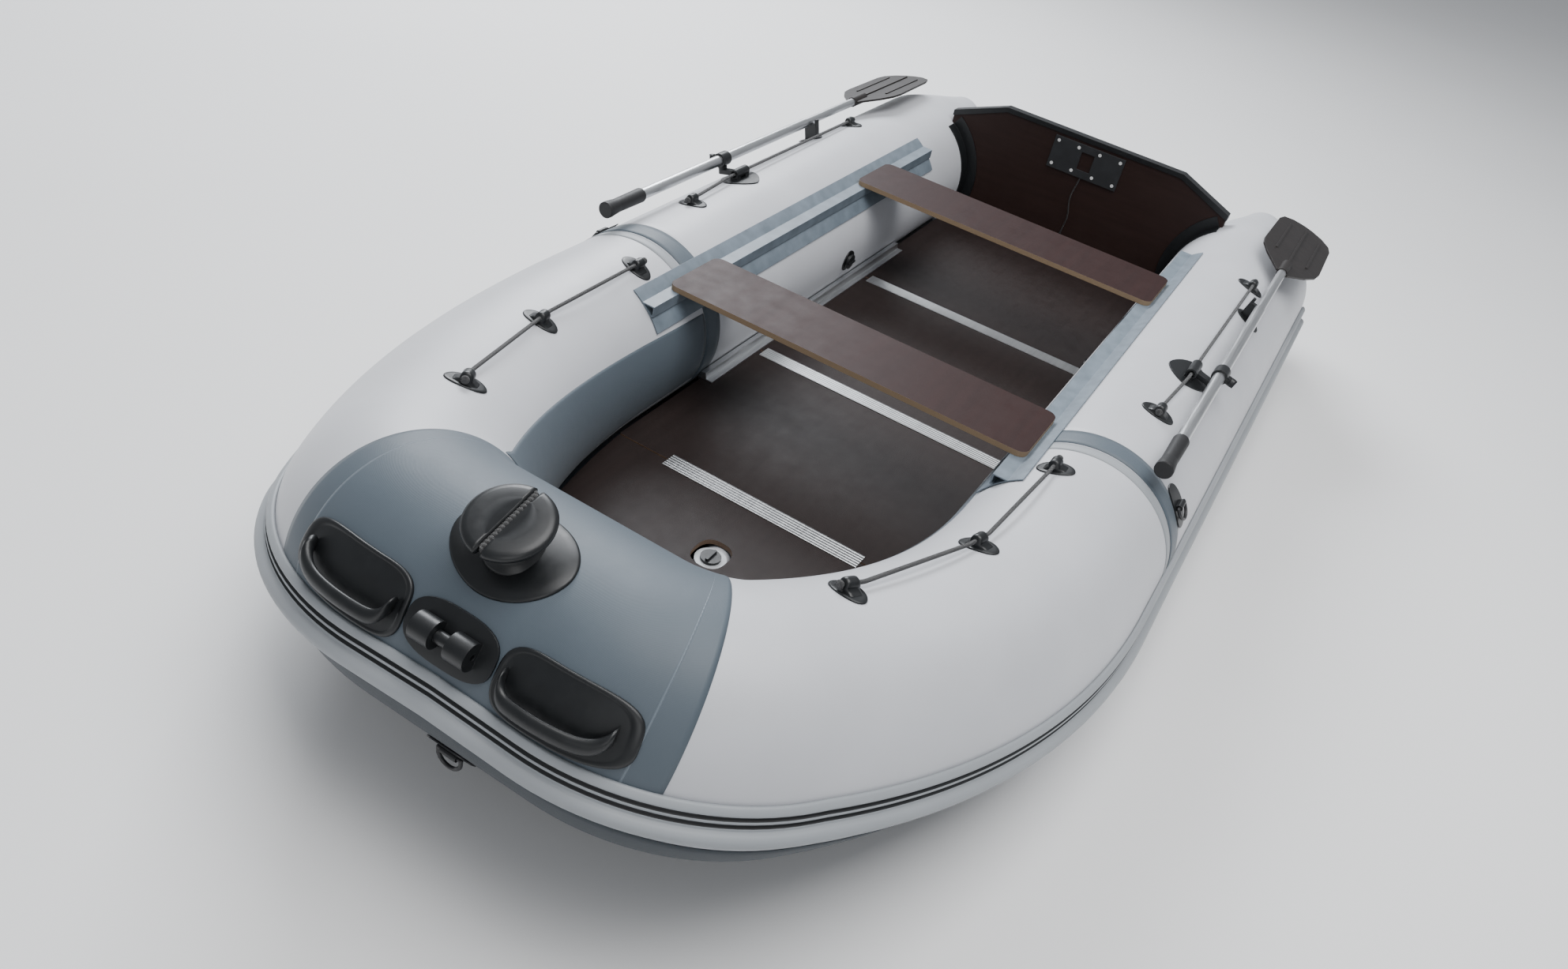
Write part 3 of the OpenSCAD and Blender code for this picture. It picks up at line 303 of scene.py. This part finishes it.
MATS = {
    "pvc_pale": coated_fabric("pvc_pale", (0.56, 0.57, 0.60), 0.40, 0.7),
    "pvc_slate": coated_fabric("pvc_slate", (0.075, 0.098, 0.120), 0.50, 1.3),
    "pvc_seam": coated_fabric("pvc_seam", (0.13, 0.16, 0.19), 0.45, 0.8),
    "pvc_dark": coated_fabric("pvc_dark", (0.022, 0.032, 0.042), 0.55, 1.2),
    "strake_rubber": coated_fabric("strake_rubber", (0.30, 0.32, 0.34), 0.5, 0.4),
    # strake_groove: near-black colour for the rub strake's groove faces, painted shade in the grooves
    "strake_groove": coated_fabric("strake_groove", (0.022, 0.023, 0.025), 0.55, 0.4),
    "floor_ply": board("floor_ply", (0.016, 0.010, 0.009), (0.22, 0.14, 0.09), "Z", 0.6),
    "seat_ply": board("seat_ply", (0.022, 0.007, 0.006), (0.34, 0.24, 0.15), "Z", 0.25),
    "transom_ply": board("transom_ply", (0.024, 0.012, 0.010), (0.05, 0.03, 0.022), "X", 0.3),
    "aluminium": metal("aluminium", (0.72, 0.73, 0.74)),
    "joint_profile": metal("joint_profile", (0.70, 0.71, 0.72), 0.34, ridges=39),
    "pad_plastic": hard_plastic("pad_plastic", (0.020, 0.021, 0.023), 0.5),
    "white_plastic": hard_plastic("white_plastic", (0.72, 0.72, 0.71)),
    "black_plastic": hard_plastic("black_plastic", (0.007, 0.008, 0.009), 0.36),
    "grip_rubber": hard_plastic("grip_rubber", (0.009, 0.009, 0.010), 0.55),
    "blade_plastic": hard_plastic("blade_plastic", (0.014, 0.011, 0.010), 0.42),
    "black_rope": rope_material("black_rope", (0.008, 0.008, 0.009)),
    "black_steel": hard_plastic("black_steel", (0.020, 0.020, 0.022), 0.3),
    "rail_plastic": hard_plastic("rail_plastic", (0.15, 0.185, 0.22), 0.42),
    "pale_plastic": hard_plastic("pale_plastic", (0.45, 0.47, 0.49), 0.45),
    "cream_string": rope_material("cream_string", (0.62, 0.60, 0.52)),
}
slots = {p["node"]: p["material_slot"] for p in frame["record"]["subparts"]}
OWN_LOOK = {"floor_joints": "joint_profile", "motor_pad_inner": "pad_plastic",
            "motor_pad_outer": "pad_plastic"}
for node_name, obj in nodes.items():
    obj.data.materials.clear()
    obj.data.materials.append(MATS[OWN_LOOK.get(node_name, slots[node_name])])


# ---- Mesh helpers ----
def make(name, points, faces, material, uv=None):
    """A mesh piece of the hull; the first material is the one that its slot names."""
    materials = [material] if isinstance(material, str) else material
    mesh = bpy.data.meshes.new(name)
    mesh.from_pydata([tuple(p) for p in points], [], faces)
    mesh.update()
    if uv:
        layer = mesh.uv_layers.new(name="UVMap")
        for loop in mesh.loops:
            layer.data[loop.index].uv = uv[loop.vertex_index]
    mesh.shade_smooth()
    for m in materials:
        mesh.materials.append(MATS[m])
    obj = bpy.data.objects.new(name, mesh)
    bpy.context.scene.collection.objects.link(obj)
    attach(obj, "hull")
    return obj


def ring_faces(rows, n):
    """Faces of a closed solid made of rows of n points, with a cap at each end."""
    faces = []
    for i in range(rows - 1):
        for j in range(n):
            a, b = i * n + j, i * n + (j + 1) % n
            faces.append((a, a + n, b + n, b))
    faces.append(tuple(range(n)))
    faces.append(tuple(range(rows * n - 1, (rows - 1) * n - 1, -1)))
    return faces


def on_side(p, side):
    """The point as it is to port, or its mirror image to starboard."""
    return p if side > 0 else Vector((p[0], -p[1], p[2]))


RIM_FALL = 0.0006


def loft(name, rings, material):
    points = [p for r in rings for p in r]
    return make(name, points, ring_faces(len(rings), len(rings[0])), material)


def sheet(name, place, rows, cols, r0, r1, material, side=1):
    """A thin closed sheet; place(i, j, r) gives a point for i, j from 0 to 1 at radius r."""
    grid, under = [], []
    for i in range(rows + 1):
        for j in range(cols + 1):
            rim = i in (0, rows) or j in (0, cols)
            top = place(i / rows, j / cols, r1 - (RIM_FALL if rim else 0))
            low = place(i / rows, j / cols, r0)
            grid.append(on_side(top, side))
            under.append(on_side(low, side))
    n = cols + 1
    k = len(grid)
    faces = []
    for i in range(rows):
        for j in range(cols):
            a = i * n + j
            top = (a, a + n, a + n + 1, a + 1)
            faces.append(top)
            faces.append(tuple(k + v for v in reversed(top)))
    rim = ([(0, j) for j in range(cols)] + [(i, cols) for i in range(rows)]
           + [(rows, j) for j in range(cols, 0, -1)] + [(i, 0) for i in range(rows, 0, -1)])
    ids = [i * n + j for i, j in rim]
    for a, b in zip(ids, ids[1:] + ids[:1]):
        faces.append((a, b, k + b, k + a))
    return fix_normals(make(name, grid + under, faces, material))


def fix_normals(obj):
    bm = bmesh.new()
    bm.from_mesh(obj.data)
    bmesh.ops.recalc_face_normals(bm, faces=bm.faces)
    bm.to_mesh(obj.data)
    bm.free()
    return obj


def stations(s0, s1, step):
    n = max(1, math.ceil((s1 - s0) / step))
    return [s0 + (s1 - s0) * i / n for i in range(n + 1)]


# ---- Buoyancy tubes ----
END_GAP = 0.0006
TUBE_SIDES = 96
BOW_STEP, SIDE_STEP, CONE_STEP = 0.012, 0.05, 0.01
CONE_IN, CONE_UP = 0.02, 0.083
around = [j * 360 / TUBE_SIDES for j in range(TUBE_SIDES)]
bow_s = stations(END_GAP, 2 * S_BOW - END_GAP, BOW_STEP)
bow = loft("bow_chamber", [[on_tube(s, phi, TUBE_R) for phi in around] for s in bow_s], "pvc_pale")
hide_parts("tube_bow")


def stern_ring(x):
    """The side tube's section at x: round, and shrinking to a raised end behind the transom."""
    f = min(1.0, max(0.0, (CONE_X - x) / (CONE_X - CONE_END_X)))
    ease = f * f * (3 - 2 * f) * 0.25 + f * 0.75
    r = TUBE_R + (CONE_END_R - TUBE_R) * ease
    cy, cz = TUBE_Y - CONE_IN * ease, TUBE_R + CONE_UP * ease
    return [Vector((x, cy + r * cos_d(a), cz + r * sin_d(a))) for a in around]


side_x = stations(CONE_END_X, CONE_X, CONE_STEP)[:-1] + stations(CONE_X, RING_X - END_GAP, SIDE_STEP)
for side, tag in SIDES:
    rings = [[on_side(p, side) for p in stern_ring(x)] for x in side_x]
    obj = fix_normals(loft(f"tube_{tag}_skin", rings, "pvc_pale"))
    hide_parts(f"tube_{tag}")


# ---- Bow wrap, guards, seam bands ----
LIFT, THICK = 0.0004, 0.0012
WRAP_LOW, WRAP_SPAN = -4, 200
WRAP_HALF, WRAP_FLARE = 0.261, 0.00025
SEAM_IN, SEAM_WIDE = 0.030, 0.0025
GUARD_S0, GUARD_LEN, GUARD_LOW = 0.032, 1.088, 204


def wrap_row(i):
    """The wrap's angle at row i, and where its port edge lies there."""
    phi = WRAP_LOW + WRAP_SPAN * i
    return phi, S_BOW - WRAP_HALF - WRAP_FLARE * phi


def wrap_place(i, j, r):
    phi, edge = wrap_row(i)
    return on_tube(edge + j * 2 * (S_BOW - edge), phi, TUBE_R + r)


def wrap_seam(side):
    def place(i, j, r):
        phi, edge = wrap_row(i)
        inward = SEAM_IN + SEAM_WIDE * j
        return on_tube(edge + inward if side > 0 else 2 * S_BOW - edge - inward, phi, TUBE_R + r)
    return place


def guard_place(i, j, r):
    s = GUARD_S0 + GUARD_LEN * i
    top = 154 - 16 * max(0.0, (s - GUARD_S0) / GUARD_LEN) ** 1.4
    return on_tube(s, top + (GUARD_LOW - top) * j, TUBE_R + r)


def band(start, width, low, span):
    """A band round the side tube, from start to start + width ahead of the chamber seam."""
    def place(i, j, r):
        phi = low + span * i
        centre = Vector((RING_X + (start + width * j), TUBE_Y, TUBE_R))
        return centre + (TUBE_R + r) * Vector((0, cos_d(phi), sin_d(phi)))
    return place


wrap = sheet("bow_wrap_skin", wrap_place, 90, 90, LIFT, LIFT + THICK, "pvc_slate")
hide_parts("bow_wrap")
for side, tag in SIDES:
    sheet(f"wrap_seam_{tag}", wrap_seam(side), 90, 1, LIFT + THICK - 0.0003, LIFT + THICK + 0.0006,
          "pvc_seam")

for side, tag in SIDES:
    guard = sheet(f"guard_{tag}", guard_place, 80, 30, LIFT, LIFT + THICK, "pvc_slate", side)
    seam_band = sheet(f"seam_band_{tag}", band(-0.030, 0.060, -70, 298), 120, 4, LIFT, LIFT + THICK,
                      "pvc_slate", side)
    if side > 0:
        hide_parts("inner_guards")
        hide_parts("seam_bands")
    sheet(f"pale_band_{tag}", band(0.033, 0.030, -30, 180), 90, 3, LIFT / 2, LIFT / 2 + 0.0009,
          "strake_rubber", side)

# ---- Rub strake ----
# The section, in mm: along the tube's wall, and out from it
PROFILE = [(-14, 0), (-14.2, 5), (-13.6, 10), (-12, 15), (-9.4, 19.5), (-6, 22.6), (-2, 24.2), (2, 24.4),
           (6, 23.2), (9, 21), (11.6, 17.6), (13, 14), (13.6, 11), (14.4, 9.3), (15.2, 9), (17.2, 9),
           (17.8, 8.4), (18, 3.5), (25.6, 3.5), (25.8, 8.4), (26.4, 9), (29.8, 9), (30.4, 8.4), (30.6, 3.5),
           (38, 3.5), (38.2, 8.4), (38.8, 9), (41, 8.4), (44, 7), (48, 4), (50, 1.6), (50, 0)]
GROOVES = {16, 17, 18, 22, 23, 24}
OVER, ROOT_SINK = 0.0036, 0.0028


def strake_deg(s):
    return -8 + 11.5 * max(0.0, min(s, 2 * S_BOW - s)) / S_BOW


side_s = stations(CONE_X - RING_X, 0, SIDE_STEP)[:-1]
strake_s = side_s + stations(0, 2 * S_BOW, BOW_STEP) + [2 * S_BOW - s for s in reversed(side_s)]
n = len(PROFILE)
points = []
for s in strake_s:
    for u, v in PROFILE:
        base = OVER - ROOT_SINK if v == 0 else OVER
        points.append(on_tube(s, strake_deg(s) + math.degrees(u / 1000 / TUBE_R), TUBE_R + base + v / 1000))
strake = make("rub_strake_skin", points, ring_faces(len(strake_s), n), ["strake_rubber", "strake_groove"])
# The groove walls and floors take the near-black strake_groove material: painted shade in the grooves
for i in range(len(strake_s) - 1):
    for k in GROOVES:
        strake.data.polygons[i * n + k].material_index = 1
fix_normals(strake)
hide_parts("rub_strake")

# ---- Bottom ----
ATTACH, ATTACH_LIFT = -125, 0.0003
KEEL_LOW, KEEL_TIP = 0.009, 0.0525
KEEL_X0, KEEL_X1, SKIN_LAG, KEEL_ROOM = 0.85, 1.12, 0.03, 0.0008
SKIN_S0, SKIN_S1 = CONE_X + 0.02 - RING_X, S_BOW - 0.04
APRON_S0, APRON_LOW = 0.455, -121
tip = on_tube(S_BOW, ATTACH, TUBE_R + ATTACH_LIFT)


def keel_line(x):
    f = (x - SKIN_LAG - KEEL_X0) / (KEEL_X1 - KEEL_X0)
    if f < 0:
        return KEEL_LOW
    if f < 1:
        return KEEL_LOW + (KEEL_TIP - KEEL_LOW) * f
    g = (x - KEEL_X1 - SKIN_LAG) / (tip.x - KEEL_X1 - SKIN_LAG)
    return KEEL_TIP + (tip.z - KEEL_TIP) * max(0.0, g) ** 1.5


def bottom_place(i, j, r):
    s = SKIN_S0 + (SKIN_S1 - SKIN_S0) * i
    a = on_tube(s, ATTACH, TUBE_R + ATTACH_LIFT + r)
    f = abs(2 * j - 1)
    k = keel_line(a.x) - KEEL_ROOM - r
    return Vector((a.x, a.y * (1 if j > 0.5 else -1) * f, k + (a.z - k) * f * f))


bottom = sheet("bottom_skin", bottom_place, 160, 24, 0, 0.0012, "pvc_dark")
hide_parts("hull_skin")


def apron_place(i, j, r):
    s = APRON_S0 + (2 * S_BOW - 2 * APRON_S0) * i
    half = min(s, 2 * S_BOW - s)
    top = -6.5 - 70 * (1 - half / S_BOW) ** 1.5
    return on_tube(s, top + (APRON_LOW - top) * j, TUBE_R + r)


sheet("bow_apron", apron_place, 150, 24, LIFT, LIFT + THICK, "pvc_dark")


# ---- Ropes ----
ROPE_SIDES = 12
UV_LENGTH = 0.2
ROPE_R, KNOT_SWELL = 0.004, 0.0042
PATH_STEP = 0.004


def rope(name, path, radius):
    """A round cord along the path, with its length in its UV map; radius is one value or a list."""
    pts, uv = [], []
    along = 0.0
    prev_u = None
    for i, p in enumerate(path):
        a, b = path[max(0, i - 1)], path[min(len(path) - 1, i + 1)]
        t = (Vector(b) - Vector(a)).normalized()
        u = (prev_u - t * prev_u.dot(t)) if prev_u else t.cross(Vector((0.3, 0.2, 1)))
        u.normalize()
        prev_u = u
        v = t.cross(u)
        if i:
            along += (Vector(p) - Vector(path[i - 1])).length
        r = radius[i] if isinstance(radius, list) else radius
        for j in range(ROPE_SIDES):
            ang = 2 * math.pi * j / ROPE_SIDES
            pts.append(Vector(p) + r * (math.cos(ang) * u + math.sin(ang) * v))
            uv.append((along / UV_LENGTH, j / ROPE_SIDES))
    return make(name, pts, ring_faces(len(path), ROPE_SIDES), "black_rope", uv)


def smooth_path(points):
    out = []
    for i in range(len(points) - 1):
        a, b = Vector(points[i]), Vector(points[i + 1])
        n = max(1, int((b - a).length / PATH_STEP))
        out += [a.lerp(b, k / n) for k in range(n)]
    out.append(Vector(points[-1]))
    for _ in range(3):
        inner = [(out[i - 1] + out[i] * 2 + out[i + 1]) / 4 for i in range(1, len(out) - 1)]
        out = [out[0]] + inner + [out[-1]]
    return out


# Each eyelet's station along the tube and its angle round it
EYELETS = [(0.150, 108), (0.545, 106.5), (0.930, 104), (-0.234, 78.3), (-1.145, 72.5)]
HOLE_H = 0.013


def over(i, dx):
    """The rope's point at eyelet i, dx ahead of its hole's middle."""
    return local_frame(*EYELETS[i]) @ Vector((dx, 0, HOLE_H))


def knotted(count):
    """The radius at each point of a lifeline, with a stopper knot at each end."""
    out = []
    for i in range(count):
        k = min(i, count - 1 - i) * PATH_STEP
        knot = KNOT_SWELL * math.sqrt(max(0.0, 1 - ((k - 0.003) / 0.005) ** 2)) if k < 0.008 else 0
        out.append(ROPE_R + knot)
    return out


LOCK_S, LOCK_DEG, LOCK_H, LOCK_RUN = -0.480, 75.1, 0.017, Vector((0.05, 0, 0))
TAIL, PAST = 0.024, 0.03
lock_point = local_frame(LOCK_S, LOCK_DEG) @ Vector((0, 0, LOCK_H))
front = [over(0, -TAIL), over(0, 0), over(0, PAST), over(1, -PAST), over(1, 0), over(1, PAST),
         over(2, -PAST), over(2, 0), over(2, TAIL)]
rear = [over(3, TAIL), over(3, 0), over(3, -PAST), lock_point + LOCK_RUN, lock_point - LOCK_RUN,
        over(4, PAST), over(4, 0), over(4, -TAIL)]
for side, tag in SIDES:
    for part, raw in (("front", front), ("rear", rear)):
        path = [on_side(p, side) for p in smooth_path(raw)]
        obj = fix_normals(rope(f"lifeline_{part}_{tag}", path, knotted(len(path))))
        if side > 0 and part == "front":
            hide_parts("lifelines")


# ---- Moulded fittings ----
def oval(a, b, power=2.0, n=64):
    """A superellipse's outline; a higher power squares it."""
    out = []
    for i in range(n):
        t = 2 * math.pi * i / n
        c, s = math.cos(t), math.sin(t)
        out.append((a * math.copysign(abs(c) ** (2 / power), c), b * math.copysign(abs(s) ** (2 / power), s)))
    return out


def drop(y):
    """How far the round tube's wall falls away at y."""
    return TUBE_R - math.sqrt(max(0.0, TUBE_R ** 2 - y * y))


def pad(name, m, outline, base, t):
    """A moulded patch that follows the tube, with a rounded rim, from an outline in its frame."""
    rings = []
    for f, h in ((0.02, base), (0.5, base), (1.0, base), (1.0, base + t * 0.45), (0.985, base + t * 0.8),
                 (0.96, base + t), (0.80, base + t), (0.40, base + t), (0.02, base + t)):
        rings.append([m @ Vector((x * f, y * f, h - drop(y * f))) for x, y in outline])
    return fix_normals(loft(name, rings, "black_plastic"))


def revolve(name, m, profile, material="black_plastic"):
    """A round piece from (radius, height) pairs, about the frame's Z."""
    turns = [j * 360 / 64 for j in range(64)]
    rings = [[m @ Vector((r * cos_d(a), r * sin_d(a), z)) for a in turns] for r, z in profile]
    return fix_normals(loft(name, rings, material))


def hump(name, m, half, height, radius, foot, base):
    """A low barrel along X that flares into its patch on both sides, with rounded ends."""
    arc = [-20 + 220 * k / 24 for k in range(25)]
    section = [(radius * cos_d(a), height + radius * sin_d(a)) for a in arc]
    flare = [(foot, base), (foot * 0.82, base + 0.002)]
    section = flare + section + [(-y, z) for y, z in reversed(flare)]
    rings = []
    steps = 10
    for k in range(steps + 1):
        x = -half + 2 * half * k / steps
        scale = {0: 0.86, 1: 0.97}.get(min(k, steps - k), 1.0)
        ring = []
        for y, z in section:
            fall = drop(y) if z < base + 0.003 else 0
            ring.append(m @ Vector((x, y * scale, base + (z - base) * scale - fall)))
        rings.append(ring)
    return fix_normals(loft(name, rings, "black_plastic"))


for i, (s, phi) in enumerate(EYELETS):
    for side, tag in SIDES:
        m = local_frame(s, phi, side)
        obj = pad(f"eyelet_pad_{i}_{tag}", m, oval(0.025, 0.040), 0.0004, 0.0028)
        hump(f"eyelet_hump_{i}_{tag}", m, 0.014, 0.0125, 0.012, 0.026, 0.002)
        if i == 0 and side > 0:
            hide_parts("rope_eyelets")

CLEAT_DEG = 75
R_DISC, SLOT_HALF = 0.068, 0.0065
STRIP_TURNS, STRIP_HALF = 97, 0.060
bow_frame = local_frame(S_BOW, CLEAT_DEG)
cleat_pad = pad("cleat_pad", bow_frame, oval(0.102, 0.080, 1.9), 0.0018, 0.005)
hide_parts("cleat_body", "cleat_rope")
revolve("cleat_foot", bow_frame,
        [(0.001, 0.004), (0.050, -0.002), (0.045, 0.005), (0.038, 0.010), (0.034, 0.018),
         (0.033, 0.040), (0.036, 0.050), (0.050, 0.054), (0.001, 0.054)])
# The disc, as two halves with the strip's slot between them
for sign, place_name in ((1, "front"), (-1, "rear")):
    rings = []
    for z, r in ((0.053, 0.050), (0.0545, 0.061), (0.058, 0.0665), (0.063, R_DISC), (0.067, 0.0665),
                 (0.0705, 0.062), (0.072, 0.055), (0.0728, 0.040)):
        start = math.degrees(math.asin(SLOT_HALF / r))
        arc = [start + (180 - 2 * start) * k / 40 - 90 for k in range(41)]
        rings.append([bow_frame @ Vector((sign * abs(r * cos_d(a)), r * sin_d(a) * sign, z)) for a in arc])
    rings.append([bow_frame @ Vector((sign * SLOT_HALF, 0.038 * sign * (k / 20 - 1), 0.0728))
                  for k in range(41)])
    fix_normals(loft(f"cleat_disc_{place_name}", rings, "black_plastic"))
revolve("cleat_slot_floor", bow_frame,
        [(0.001, 0.052), (0.050, 0.052), (0.058, 0.0545), (0.060, 0.058), (0.001, 0.058)])
strip, strip_r = [], []
for k in range(STRIP_TURNS):
    y = -STRIP_HALF + 2 * STRIP_HALF * k / (STRIP_TURNS - 1)
    wave_x, wave_z = math.sin(k * 1.05), math.cos(k * 1.05)
    strip.append(bow_frame @ Vector((0.0012 * wave_x, y, 0.0645 + 0.0012 * wave_z)))
    strip_r.append(0.0046 + 0.0009 * wave_z)
rope("cleat_strip", strip, strip_r)

# ---- Carry handles at the bow's corners, and loop handles on the stern cones ----
HANDLE_S, HANDLE_DEG = 1.285, 32
HANDLE_HALF, HANDLE_SPREAD = 0.078, 15.0
BAR_HALF = 0.060
# Share of the outline, and height, from the pad's underside round its rim into its dished face
HANDLE_SECTION = ((0.02, 0.0018), (0.5, 0.0018), (1, 0.0018), (1, 0.005), (0.985, 0.0068), (0.96, 0.0078),
                  (0.90, 0.0078), (0.885, 0.0066), (0.86, 0.0062), (0.6, 0.0062), (0.3, 0.0062),
                  (0.02, 0.0062))
STERN_DISC = [(0.001, 0.0), (0.044, 0.0), (0.046, 0.0012), (0.044, 0.0028), (0.001, 0.003)]
STERN_LOOP_R = 0.0056


def handle_point(ds, dphi, r, side):
    return on_side(on_tube(HANDLE_S + ds, HANDLE_DEG + dphi, TUBE_R + r), side)


def bar_ring(f, side):
    """The bar's section at f of its length; its ends turn back and sink into the pad."""
    end = abs(2 * f - 1)
    lift = 0.0155 + 0.014 * math.sin(math.pi * f) ** 0.45
    ds = (f - 0.5) * 2 * BAR_HALF
    middle = -6 + 7 * end ** 7
    wide = 4.6 + 1.2 * end ** 4
    tall = 0.0075 + 0.004 * end ** 6
    return [handle_point(ds, middle + wide * cos_d(a) / 1.6, lift + tall * sin_d(a) - 0.001, side)
            for a in range(0, 360, 15)]


for side, tag in SIDES:
    outline = oval(HANDLE_HALF, HANDLE_SPREAD, 3.4, 72)
    rings = [[handle_point(x * f, y * f, h, side) for x, y in outline] for f, h in HANDLE_SECTION]
    obj = fix_normals(loft(f"carry_handle_pad_{tag}", rings, "black_plastic"))
    if side > 0:
        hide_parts("carry_handles")
    rings = [bar_ring(k / 40, side) for k in range(41)]
    fix_normals(loft(f"carry_handle_bar_{tag}", rings, "black_plastic"))

    centre = Vector((CONE_END_X - 0.0103, TUBE_Y - 0.03, TUBE_R + 0.093))
    turns = [2 * math.pi * k / 48 for k in range(49)]
    loop = [on_side(centre + Vector((0.0015 * math.sin(2 * a), 0.028 * math.cos(a), 0.030 * math.sin(a))),
                    side) for a in turns]
    seat = Matrix.Translation(centre + Vector((0.010, 0, 0))) @ Matrix.Rotation(-math.pi / 2, 4, "Y")
    if side < 0:
        seat = Matrix.Diagonal((1, -1, 1, 1)) @ seat
    revolve(f"stern_handle_pad_{tag}", seat, STERN_DISC, "pvc_dark")
    rope(f"stern_handle_loop_{tag}", loop, STERN_LOOP_R)

# ---- Camera, light and floor ----
FLOOR_SIZE, FLOOR_Z = 60, -0.0005
WORLD_COLOUR, WORLD_STRENGTH = (0.80, 0.83, 0.88, 1), 0.42
LENS, SENSOR = 26.92, 36.0
CAMERA_PLACE = Vector((2.4733, 0.7886, 1.6744))

bpy.ops.mesh.primitive_plane_add(size=FLOOR_SIZE, location=(0, 0, FLOOR_Z))
ground = bpy.context.active_object
ground.name = "studio_floor"
floor_shader = Shader("studio_floor", rough=0.75)
floor_shader.colour(floor_shader.ramp(floor_shader.noise(0.8), (0.80, 0.80, 0.80), (0.82, 0.82, 0.82)))
ground.data.materials.append(floor_shader.mat)

world = bpy.data.worlds.new("studio")
bpy.context.scene.world = world
world.use_nodes = True
background = world.node_tree.nodes["Background"].inputs
background["Color"].default_value = WORLD_COLOUR
background["Strength"].default_value = WORLD_STRENGTH


def area_light(name, place, target, size, power, colour=(1, 1, 1)):
    data = bpy.data.lights.new(name, "AREA")
    data.shape = "RECTANGLE"
    data.size, data.size_y = size
    data.energy = power
    data.color = colour
    obj = bpy.data.objects.new(name, data)
    bpy.context.scene.collection.objects.link(obj)
    obj.location = place
    obj.rotation_euler = (Vector(target) - Vector(place)).to_track_quat("-Z", "Y").to_euler()


area_light("window", (-3.5, -4.0, 4.2), (0.2, 0, 0.2), (4.0, 2.5), 560, (0.93, 0.96, 1.0))
area_light("ceiling", (0.5, 1.0, 5.0), (0, 0, 0), (4.0, 4.0), 300)
area_light("front", (5.5, 2.5, 3.0), (0.6, 0, 0.3), (3.0, 2.0), 45)

right = Vector((-0.5006, 0.8435, 0.1944))
back = Vector((0.7437, 0.3042, 0.5953))
up = back.cross(right)
cam_data = bpy.data.cameras.new("camera")
cam_data.lens = LENS
cam_data.sensor_width = SENSOR
cam_data.clip_end = 100
cam = bpy.data.objects.new("camera", cam_data)
bpy.context.scene.collection.objects.link(cam)
turn = Matrix((right, up, back)).transposed().to_4x4()
cam.matrix_world = Matrix.Translation(CAMERA_PLACE) @ turn
bpy.context.scene.camera = cam
